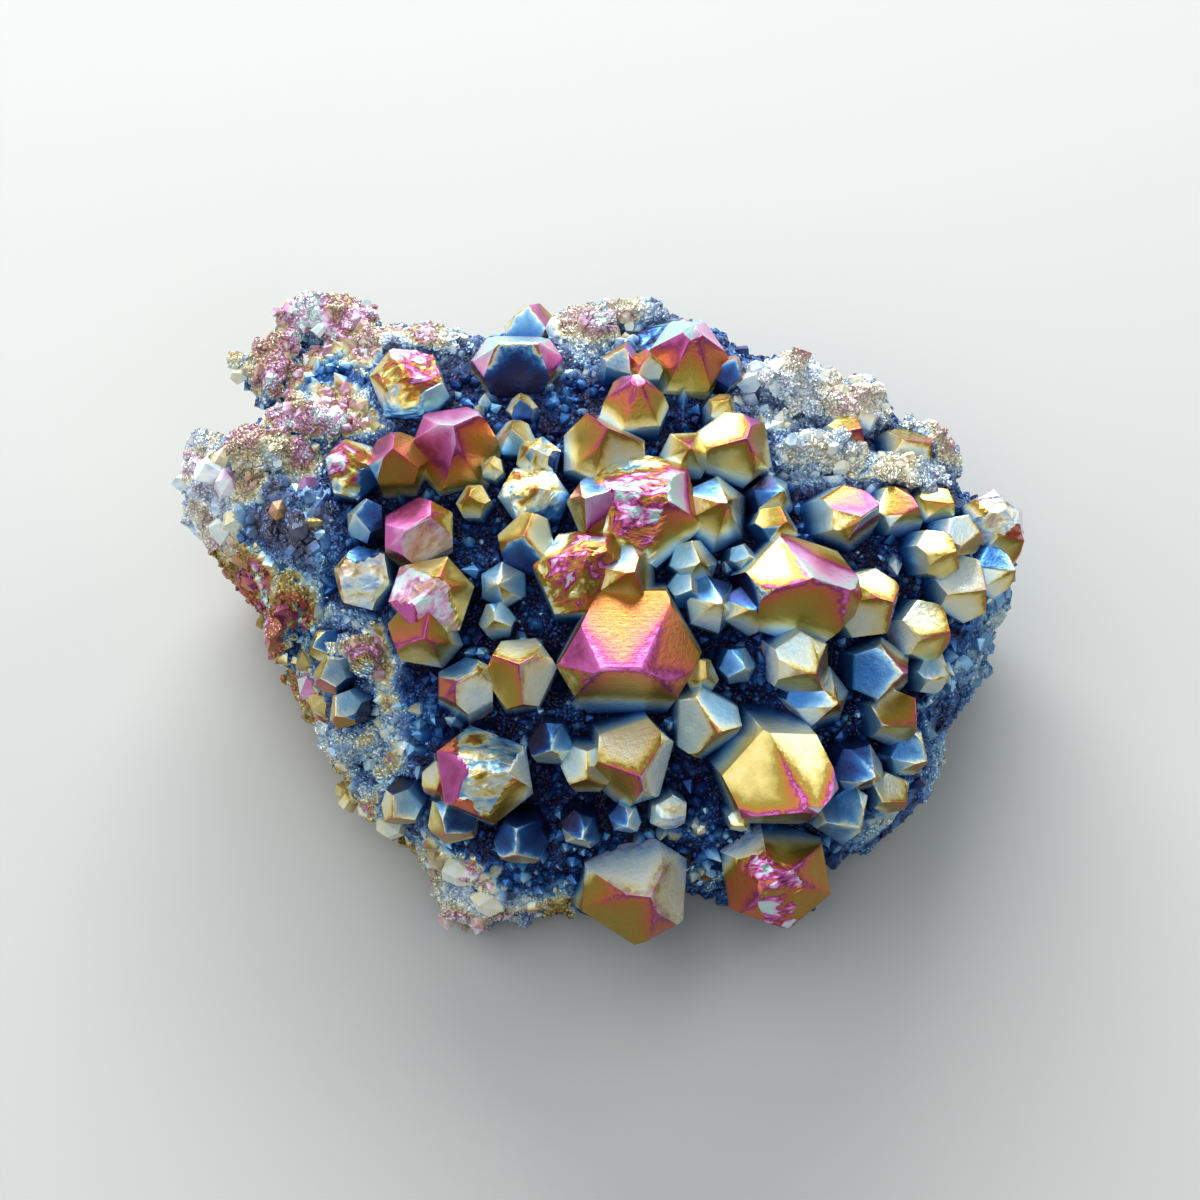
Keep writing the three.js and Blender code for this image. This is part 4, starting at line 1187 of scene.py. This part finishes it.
def quartz_sugar(colours):
    """Fine-grained quartz under the same film: every grain, a third of a millimetre across, has a film
    and a tilt of its own, so that the crust glitters in all the film's colours. Where it is frosted its
    hue is milkier."""
    material = empty_material(SUGARY_FINISH)
    tree = material.node_tree
    local = add(tree, "ShaderNodeAttribute", {"attribute_name": "local"}, output="Vector")
    film, rough = (
        add(tree, "ShaderNodeAttribute", {"attribute_name": name}, output="Fac")
        for name in ("film", "rough")
    )
    mottle = add(tree, "ShaderNodeTexNoise", {}, {
        "Vector": local, "Scale": 0.9, "Detail": 5.0, "Roughness": 0.65,
    })
    cell = add(tree, "ShaderNodeTexVoronoi", {}, {"Vector": local, "Scale": 3.2})
    own = add(tree, "ShaderNodeSeparateColor", {}, {"Color": cell.node.outputs["Color"]}, "Red")
    thickness = add(tree, "ShaderNodeMath", {"operation": "MULTIPLY_ADD"}, {0: mottle, 1: 0.36, 2: film})
    thickness = add(tree, "ShaderNodeMath", {"operation": "MULTIPLY_ADD"}, {
        0: own, 1: 0.12, 2: thickness,
    })
    thickness = add(tree, "ShaderNodeMath", {"operation": "ADD"}, {0: thickness, 1: -0.24})
    colour = add(tree, "ShaderNodeValToRGB", {}, {"Fac": thickness})
    set_film_stops(colour.node, colours)
    frost = add(tree, "ShaderNodeAttribute", {"attribute_name": "frost"}, output="Fac")
    frost = add(tree, "ShaderNodeMath", {"operation": "MULTIPLY"}, {0: frost, 1: 0.3})
    colour = add(tree, "ShaderNodeMix", {"data_type": "RGBA"}, {
        "Factor": frost, "A": colour, "B": linear(MILKY_WHITE),
    }, "Result")
    relief = add(tree, "ShaderNodeBump", {"invert": True}, {"Height": cell, "Distance": GRAIN_RELIEF})
    relief = add(tree, "ShaderNodeBump", {}, {"Height": own, "Distance": FACET_RELIEF, "Normal": relief})
    shader = add(tree, "ShaderNodeBsdfPrincipled", {}, {
        "Base Color": colour, "Metallic": SUGAR_MIRROR, "Roughness": rough, "Normal": relief,
    })
    add(tree, "ShaderNodeOutputMaterial", {}, {"Surface": shader})
    return material


# ---- Small points and grains ----
POINT_TRIANGLES = 24
GRAIN_TRIANGLES = 8


def hexagonal_points(feet, axes, widths, heights, spins, pitch):
    """Closed six-sided points: a base ring, a shoulder ring at a share of the height, and a tip that
    stands a little off the axis. "pitch" holds eight chance numbers for each: six for the reach of its
    corners, one for its shoulder and one for its tip."""
    count = len(feet)
    side = np.cross(axes, [0.31, 0.52, 0.79])
    side /= np.linalg.norm(side, axis=1)[:, None]
    other = np.cross(axes, side)
    angle = spins[:, None] + np.radians(60 * np.arange(6))
    uneven = 0.5 * widths[:, None] * (0.75 + 0.5 * pitch[:, :6])
    ring = (uneven * np.cos(angle))[..., None] * side[:, None]
    ring = ring + (uneven * np.sin(angle))[..., None] * other[:, None]
    shoulder = (0.35 + 0.3 * pitch[:, 6:7]) * heights[:, None]
    base = feet[:, None] + ring
    upper = feet[:, None] + ring * 0.94 + (shoulder * np.ones(6))[..., None] * axes[:, None]
    lean = (pitch[:, 7:8] - 0.5) * 0.4 * widths[:, None] * side
    tip = (feet + heights[:, None] * axes + lean)[:, None]
    points = np.concatenate([tip, upper, base, feet[:, None]], axis=1)
    here = np.arange(6)
    onward = (here + 1) % 6
    one = np.concatenate([
        np.stack([np.zeros(6, int), 1 + here, 1 + onward], axis=1),
        np.stack([1 + here, 7 + here, 7 + onward], axis=1),
        np.stack([1 + here, 7 + onward, 1 + onward], axis=1),
        np.stack([np.full(6, 13), 7 + onward, 7 + here], axis=1),
    ])
    triangles = one[None] + 14 * np.arange(count)[:, None, None]
    return points.reshape(-1, 3), triangles.reshape(-1, 3)


def grains(middles, sizes, spread):
    """Closed eight-sided grains: the corners of an octahedron at chance distances, turned by chance."""
    count = len(middles)
    corners = np.array([[1, 0, 0], [0, 1, 0], [-1, 0, 0], [0, -1, 0], [0, 0, 1], [0, 0, -1.0]])
    faces = np.array([
        (0, 1, 4), (1, 2, 4), (2, 3, 4), (3, 0, 4), (1, 0, 5), (2, 1, 5), (3, 2, 5), (0, 3, 5),
    ])
    q = spread.normal(size=(count, 4))
    q /= np.linalg.norm(q, axis=1)[:, None]
    w, x, y, z = q.T
    turn = np.stack([
        np.stack([1 - 2 * (y * y + z * z), 2 * (x * y - w * z), 2 * (x * z + w * y)], -1),
        np.stack([2 * (x * y + w * z), 1 - 2 * (x * x + z * z), 2 * (y * z - w * x)], -1),
        np.stack([2 * (x * z - w * y), 2 * (y * z + w * x), 1 - 2 * (x * x + y * y)], -1),
    ], axis=1)
    reach = sizes[:, None] * (0.65 + 0.7 * spread.random((count, 6)))
    own = corners[None] * reach[..., None]
    points = middles[:, None] + np.einsum("nij,nkj->nki", turn, own)
    triangles = faces[None] + 6 * np.arange(count)[:, None, None]
    return points.reshape(-1, 3), triangles.reshape(-1, 3)


def normals_of(points, triangles):
    """Unit normals of the triangles."""
    a, b, c = (points[triangles[:, i]] for i in range(3))
    normal = np.cross(b - a, c - a)
    return normal / np.maximum(np.linalg.norm(normal, axis=1), 1e-12)[:, None]


def finished(piece, numbers):
    """Gives a piece flat shading, its corners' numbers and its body."""
    mesh = piece.data
    mesh.shade_flat()
    for name, values in numbers.items():
        if values.ndim == 1:
            set_numbers(mesh, name, "CORNER", "FLOAT", values.astype(np.float32))
        else:
            layer = mesh.attributes.new(name, "FLOAT_VECTOR", "CORNER")
            layer.data.foreach_set("vector", values.astype(np.float32).ravel())
    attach(piece, "root")


ROCK = "coated_quartz_crust"
SHARP_FROM = math.radians(24)


def colour_choice(name, hex_colour):
    """A colour that a user may change."""
    return bpy.props.FloatVectorProperty(
        name=name.capitalize(), description=f"The film's {name} colour", size=4, subtype="COLOR",
        default=linear(hex_colour), min=0, max=1,
    )


def count_choice(name, description, count):
    """A number of small pieces that a user may change."""
    return bpy.props.IntProperty(name=name, description=description, default=count, min=1)


def power_choice(name, description, watts):
    """A light's power that a user may change."""
    return bpy.props.FloatProperty(
        name=name, description=description, default=watts, min=0, unit="POWER",
    )


def length_choice(name, description, millimetres):
    """A length that a user may change."""
    return bpy.props.FloatProperty(
        name=name, description=description, default=millimetres * MM, min=0, unit="LENGTH", precision=5,
    )


class FilmColours(bpy.types.PropertyGroup):
    """The titanium film's colours from its thinnest to its thickest, with gold and rose darkened as painted
    shade and magenta and lilac lightened as painted light
    """

    __annotations__ = {name: colour_choice(name, hex_colour) for _, name, hex_colour in FILM_COLOURS_LIT_AND_SHADED}


class CoverSizes(bpy.types.PropertyGroup):
    """How many small points and grains cover the matrix, and how big they are"""

    druse_count: count_choice("Druse points", "Small points on the bare matrix", 2600)
    druse_least: length_choice("Least druse point", "Width of the narrowest druse points", 0.3)
    druse_most: length_choice("Widest druse point", "Width of the widest druse points", 1.4)
    crust_count: count_choice("Crust points", "Tumbled points on the broken lumps and the wall", 7900)
    crust_least: length_choice("Least crust point", "Width of the narrowest crust points", 0.5)
    crust_most: length_choice("Widest crust point", "Width of the widest crust points", 1.5)
    sugar_count: count_choice("Sugar grains", "Grains over the broken lumps and the wall", 24500)
    sugar_least: length_choice("Least grain", "Reach of the smallest grains from their middle", 0.1)
    sugar_most: length_choice("Largest grain", "Reach of the largest grains from their middle", 0.3)


class StageChoices(bpy.types.PropertyGroup):
    """The stage's colours and light"""

    floor_colour: bpy.props.FloatVectorProperty(
        name="Floor", description="Colour of the floor", size=4, subtype="COLOR", min=0, max=1,
        default=linear("#bab8b4"),
    )
    sky_colour: bpy.props.FloatVectorProperty(
        name="Sky", description="Colour of the light from all round", size=4, subtype="COLOR",
        min=0, max=1, default=linear("#b2c6dc"),
    )
    sky_strength: bpy.props.FloatProperty(
        name="Sky strength", description="Strength of the light from all round", default=0.26, min=0
    )
    back_power: power_choice("Back panel", "Power of the panel behind the cluster", 5.0)
    left_power: power_choice("Left softbox", "Power of the softbox on the left", 3.1)
    right_power: power_choice("Right fill", "Power of the fill light on the right", 1.0)
    front_power: power_choice("Front softbox", "Power of the softbox in front", 1.0)


class GrowCluster(bpy.types.Operator):
    """Grows the matrix, its broken lumps and the quartz points as one closed mesh"""

    bl_idname = "quartz.grow_cluster"
    bl_label = "Grow the cluster"

    def execute(self, context):
        points, triangles, _ = matrix_surface()
        groups = [[(points, triangles, np.full(len(triangles), MATRIX_FACE))]]
        lumps = []
        for index, (middle, half) in enumerate(LUMPS):
            points, triangles, _ = lump_surface(index, middle, half)
            lumps.append((points, triangles, np.full(len(triangles), LUMP_FACE)))
        groups += apart_groups(lumps)
        groups += apart_groups([crystal_item(*crystal) for crystal in placed_crystals()])
        mesh = united(groups)
        mesh.name = ROCK
        rock = bpy.data.objects.new(ROCK, mesh)
        context.scene.collection.objects.link(rock)
        points, triangles, numbers, horizon = rock_numbers()
        finished(rock, corner_numbers(points, triangles, numbers, horizon))
        mesh.materials.clear()
        mesh.materials.append(quartz_faces(context.scene.quartz_colours))
        mesh.materials.append(quartz_sugar(context.scene.quartz_colours))
        mesh.polygons.foreach_set("material_index", (numbers < 0).astype(np.int32))
        mesh.polygons.foreach_set("use_smooth", np.ones(len(triangles), dtype=bool))
        mesh.set_sharp_from_angle(angle=SHARP_FROM)
        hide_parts("quartz_cluster")
        return {"FINISHED"}


def rock_numbers():
    """The cluster's points, triangles, face numbers, and its heights for asking after the sky."""
    mesh = bpy.data.objects[ROCK].data
    points, triangles = read_mesh(mesh)
    numbers = np.empty(len(triangles), dtype=np.int32)
    mesh.attributes["face_id"].data.foreach_get("value", numbers)
    return points, triangles, numbers, Horizon(points, triangles)


# How much of a small point's height is sunk in what it grows on, and the roughness of each cover.
DRUSE_SINK = 0.35
CRUST_SINK = 0.68
DRUSE_ROUGHNESS = 0.3
CRUST_ROUGHNESS = 0.22
SUGAR_ROUGHNESS = 0.3


def strewn_points(name, feet, axes, widths, stoutness, sink, spread):
    """A piece of many small quartz points, each sunk by a share of its height."""
    heights = widths * stoutness
    feet = feet - axes * (sink * heights)[:, None]
    points, triangles = hexagonal_points(
        feet, axes, widths, heights, spread.random(len(feet)) * 2 * math.pi, spread.random((len(feet), 8))
    )
    points[:, 2] = np.maximum(points[:, 2], 0.0)
    return mesh_object(name, points, triangles), points, triangles


class GrowDruse(bpy.types.Operator):
    """Grows the druse: small quartz points on the bare matrix between the crystals"""

    bl_idname = "quartz.grow_druse"
    bl_label = "Grow the druse"

    def execute(self, context):
        settings = context.scene.quartz_sizes
        points, triangles, numbers, horizon = rock_numbers()
        spread = np.random.default_rng(SEEDS["druse"])
        normal = normals_of(points, triangles)
        middle = points[triangles].mean(axis=1)
        across, up, out = to_face(middle)
        above = out - dome_out(across, up, FLOOR_RISE, 0)
        floor = (1 - wall_share(across, up, above)) * (normal @ OUT > 0.3)
        wanted = (numbers == MATRIX_FACE) * floor * (middle[:, 2] > 0.6)
        feet, chosen = on_triangles(points, triangles, settings.druse_count, spread, wanted)
        # They stand off the surface, drawn towards OUT, and scatter a little.
        axes = normal[chosen] * 0.8 + OUT * 0.4 + 0.35 * spread.normal(size=(len(feet), 3))
        axes /= np.linalg.norm(axes, axis=1)[:, None]
        least, most = settings.druse_least / MM, settings.druse_most / MM
        widths = least + (most - least) * spread.random(len(feet)) ** 4
        stoutness = 1.0 + 0.7 * spread.random(len(feet))
        piece, points, triangles = strewn_points(
            "druse_points", feet, axes, widths, stoutness, DRUSE_SINK, spread
        )
        values = corner_numbers(points, triangles, np.full(len(triangles), MATRIX_FACE), horizon)
        each = np.repeat(spread.random(len(feet)), 3 * POINT_TRIANGLES)
        values["film"] = np.clip(values["film"] + 0.3 * each**4 + 0.02, 0, 1)
        values["rough"][:] = DRUSE_ROUGHNESS
        finished(piece, values)
        piece.data.materials.append(bpy.data.materials[GLOSSY_FINISH])
        return {"FINISHED"}


def after_the_blocks(feet, axes, widths, stoutness, horizon):
    """The feet, axes, widths, stoutness and sink of the crust's points, with those of the larger blocks
    before them: a block's foot is on the rock and its axis is OUT plus its slopes."""
    across, up, block_widths, _, slope_across, slope_up = np.array(BLOCKS).T
    block_axes = slope_across[:, None] * ACROSS + slope_up[:, None] * UP + OUT
    block_axes /= np.linalg.norm(block_axes, axis=1)[:, None]
    return (
        np.concatenate([from_face(across, up, horizon.height(across, up)), feet]),
        np.concatenate([block_axes, axes]),
        np.concatenate([block_widths, widths]),
        np.concatenate([np.full(len(BLOCKS), BLOCK_STOUTNESS), stoutness]),
        np.repeat([BLOCK_SINK, CRUST_SINK], [len(BLOCKS), len(feet)]),
    )


class GrowCrust(bpy.types.Operator):
    """Breaks up the lumps and the wall into a crust of small tumbled quartz points"""

    bl_idname = "quartz.grow_crust"
    bl_label = "Grow the broken crust"

    def execute(self, context):
        settings = context.scene.quartz_sizes
        points, triangles, numbers, horizon = rock_numbers()
        spread = np.random.default_rng(SEEDS["crust"])
        normal = normals_of(points, triangles)
        middle = points[triangles].mean(axis=1)
        across, up, out = to_face(middle)
        wall = wall_share(across, up, out - dome_out(across, up, FLOOR_RISE, 0))
        near = np.maximum(nearness_to_lumps(middle), 0.8 * wall)
        weight = np.where(numbers == LUMP_FACE, 1.0, np.where(numbers == MATRIX_FACE, near, 0))
        weight = weight * (middle[:, 2] > 0.8)
        feet, chosen = on_triangles(points, triangles, settings.crust_count, spread, weight)
        # They lie every way, and are coarser in some places than in others.
        axes = normal[chosen] * 0.7 + 0.8 * spread.normal(size=(len(feet), 3))
        axes /= np.linalg.norm(axes, axis=1)[:, None]
        least, most = settings.crust_least / MM, settings.crust_most / MM
        coarse = 0.35 + 1.3 * clouds(feet, 4.0, 15)
        widths = least + (most - least) * coarse * spread.random(len(feet)) ** 3
        stoutness = 0.8 + 0.5 * spread.random(len(feet))
        feet, axes, widths, stoutness, sink = after_the_blocks(feet, axes, widths, stoutness, horizon)
        piece, points, triangles = strewn_points(
            "crust_points", feet, axes, widths, stoutness, sink, spread
        )
        on_lump = np.repeat(nearness_to_lumps(feet) > 0.3, POINT_TRIANGLES)
        values = corner_numbers(points, triangles, np.where(on_lump, LUMP_FACE, MATRIX_FACE), horizon)
        each = np.repeat(spread.random(len(feet)), 3 * POINT_TRIANGLES)
        values["film"] = np.clip(values["film"] + 0.12 * (each - 0.5), 0.05, 1)
        facets = np.repeat(spread.random(POINT_TRIANGLES * len(BLOCKS)) - 0.5, 3)
        # The blocks' own films, which where they are pale are partly a painted highlight.
        block_films_and_glints = np.repeat([film for _, _, _, film, _, _ in BLOCKS], 3 * POINT_TRIANGLES)
        values["film"][:len(facets)] = block_films_and_glints + 0.1 * facets
        values["rough"][:] = CRUST_ROUGHNESS
        finished(piece, values)
        piece.data.materials.append(bpy.data.materials[SUGARY_FINISH])
        piece.data.materials.append(bpy.data.materials[GLOSSY_FINISH])
        glossy = (spread.random(len(feet)) < 0.3) | (np.arange(len(feet)) < len(BLOCKS))
        glossy = np.repeat(glossy, POINT_TRIANGLES)
        piece.data.polygons.foreach_set("material_index", glossy.astype(np.int32))
        return {"FINISHED"}


class GrowSugar(bpy.types.Operator):
    """Strews sugary grains over the broken lumps, the rim and the wall"""

    bl_idname = "quartz.grow_sugar"
    bl_label = "Grow the sugar"

    def execute(self, context):
        settings = context.scene.quartz_sizes
        points, triangles, numbers, horizon = rock_numbers()
        spread = np.random.default_rng(SEEDS["sugar"])
        middle = points[triangles].mean(axis=1)
        across, up, out = to_face(middle)
        # All over the lumps, round them on the matrix, and half as many down the wall.
        wall = np.clip((dome_out(across, up, FLOOR_RISE, 0) - out - 0.5) / 2, 0, 1)
        weight = np.where(numbers == LUMP_FACE, 1.0, np.where(
            numbers == MATRIX_FACE, np.maximum(nearness_to_lumps(middle), 0.5 * wall), 0
        ))
        weight = weight * (middle[:, 2] > 0.5)
        middles, _ = on_triangles(points, triangles, settings.sugar_count, spread, weight)
        least, most = settings.sugar_least / MM, settings.sugar_most / MM
        sizes = least + (most - least) * spread.random(len(middles)) ** 2
        points, triangles = grains(middles, sizes, spread)
        points[:, 2] = np.maximum(points[:, 2], 0.0)
        piece = mesh_object("sugar_grains", points, triangles)
        values = corner_numbers(points, triangles, np.full(len(triangles), LUMP_FACE), horizon)
        each = np.repeat(spread.random(len(middles)), 3 * GRAIN_TRIANGLES)
        values["film"] = np.clip(values["film"] + 0.16 * (each - 0.5), 0.05, 1)
        values["rough"][:] = SUGAR_ROUGHNESS
        finished(piece, values)
        piece.data.materials.append(bpy.data.materials[SUGARY_FINISH])
        return {"FINISHED"}


# The camera: lens and sensor in millimetres, the width that it sees at the show face, and how far
# over the show face that is. LOOKED_AT is the place on the face in the middle of its view.
LENS = 200.0
SENSOR = 36.0
SEEN_WIDTH = 96.0
SEEN_HEIGHT = 9.0
LOOKED_AT = (-0.4, 1.2, 0.0)
FLOOR_REACH = 1500.0

# The softboxes: place and size in metres, and the choice that holds the power. All look at LIT.
LIGHT_COLOUR = (0.95, 0.99, 1.0)
LIT = (0, 0, 0.015)
SOFTBOXES = [
    ("back_panel", (-0.055, 0.446, 0.219), (0.46, 0.26), "back_power"),
    ("left_softbox", (-0.315, 0.0, 0.45), (0.8, 0.8), "left_power"),
    ("right_fill", (0.47, 0.25, 0.28), (0.35, 0.35), "right_power"),
    ("front_softbox", (0.10, -0.42, 0.50), (0.45, 0.45), "front_power"),
]


def softbox(name, place, aim, size, power):
    """A rectangular softbox at a place, turned to its aim and hidden from the camera."""
    light = bpy.data.lights.new(name, "AREA")
    light.energy = power
    light.color = LIGHT_COLOUR
    light.shape = "RECTANGLE"
    light.size, light.size_y = size
    thing = bpy.data.objects.new(name, light)
    thing.location = place
    thing.rotation_euler = (Vector(aim) - Vector(place)).to_track_quat("-Z", "Y").to_euler()
    thing.visible_camera = False
    bpy.context.scene.collection.objects.link(thing)


class SetStage(bpy.types.Operator):
    """Sets the floor, the lights, the sky and the camera"""

    bl_idname = "quartz.set_stage"
    bl_label = "Set the stage"

    def execute(self, context):
        scene = context.scene
        choices = scene.quartz_stage
        camera = bpy.data.cameras.new("camera")
        camera.lens = LENS
        camera.sensor_width = SENSOR
        camera.clip_end = 10
        distance = SEEN_WIDTH * LENS / SENSOR + SEEN_HEIGHT
        thing = bpy.data.objects.new("camera", camera)
        thing.location = (from_face(*LOOKED_AT) + OUT * distance) * MM
        thing.rotation_euler = Vector(OUT).to_track_quat("Z", "Y").to_euler()
        scene.collection.objects.link(thing)
        scene.camera = thing

        corners = FLOOR_REACH * np.array([(-1.0, -1.0, 0), (1.0, -1.0, 0), (1.0, 1.0, 0), (-1.0, 1.0, 0)])
        floor = mesh_object("floor", corners, np.array([(0, 1, 2), (0, 2, 3)]))
        paper = bpy.data.materials.new("pale_paper")
        paper.use_nodes = True
        shader = paper.node_tree.nodes["Principled BSDF"]
        shader.inputs["Base Color"].default_value = choices.floor_colour
        shader.inputs["Roughness"].default_value = 0.9
        floor.data.materials.append(paper)

        for name, place, size, power in SOFTBOXES:
            softbox(name, place, LIT, size, getattr(choices, power))
        world = bpy.data.worlds.new("sky")
        world.use_nodes = True
        background = world.node_tree.nodes["Background"]
        background.inputs["Color"].default_value = choices.sky_colour
        background.inputs["Strength"].default_value = choices.sky_strength
        scene.world = world
        scene.view_settings.view_transform = "Standard"
        return {"FINISHED"}


class QuartzPanel(bpy.types.Panel):
    """The cluster's operators, in the order in which they run"""

    bl_idname = "VIEW3D_PT_quartz"
    bl_label = "Quartz cluster"
    bl_space_type = "VIEW_3D"
    bl_region_type = "UI"
    bl_category = "Quartz"

    def draw(self, context):
        """Lists the operators and then every choice."""
        for operator in OPERATORS:
            self.layout.operator(operator.bl_idname)
        for group in GROUPS:
            settings = getattr(context.scene, group)
            for name in settings.bl_rna.properties.keys():
                if name not in ("rna_type", "name"):
                    self.layout.prop(settings, name)


GROUPS = {"quartz_colours": FilmColours, "quartz_sizes": CoverSizes, "quartz_stage": StageChoices}
OPERATORS = (GrowCluster, GrowDruse, GrowCrust, GrowSugar, SetStage)


def register():
    """Registers the classes and gives the scene their choices."""
    for cls in (*GROUPS.values(), *OPERATORS, QuartzPanel):
        bpy.utils.register_class(cls)
    for name, group in GROUPS.items():
        setattr(bpy.types.Scene, name, bpy.props.PointerProperty(type=group))


def unregister():
    """Takes the choices and the classes away again."""
    for name in GROUPS:
        delattr(bpy.types.Scene, name)
    for cls in (QuartzPanel, *reversed(OPERATORS), *reversed(GROUPS.values())):
        bpy.utils.unregister_class(cls)


def main():
    register()
    bpy.ops.quartz.grow_cluster()
    bpy.ops.quartz.grow_druse()
    bpy.ops.quartz.grow_crust()
    bpy.ops.quartz.grow_sugar()
    bpy.ops.quartz.set_stage()


if __name__ == "__main__":
    main()
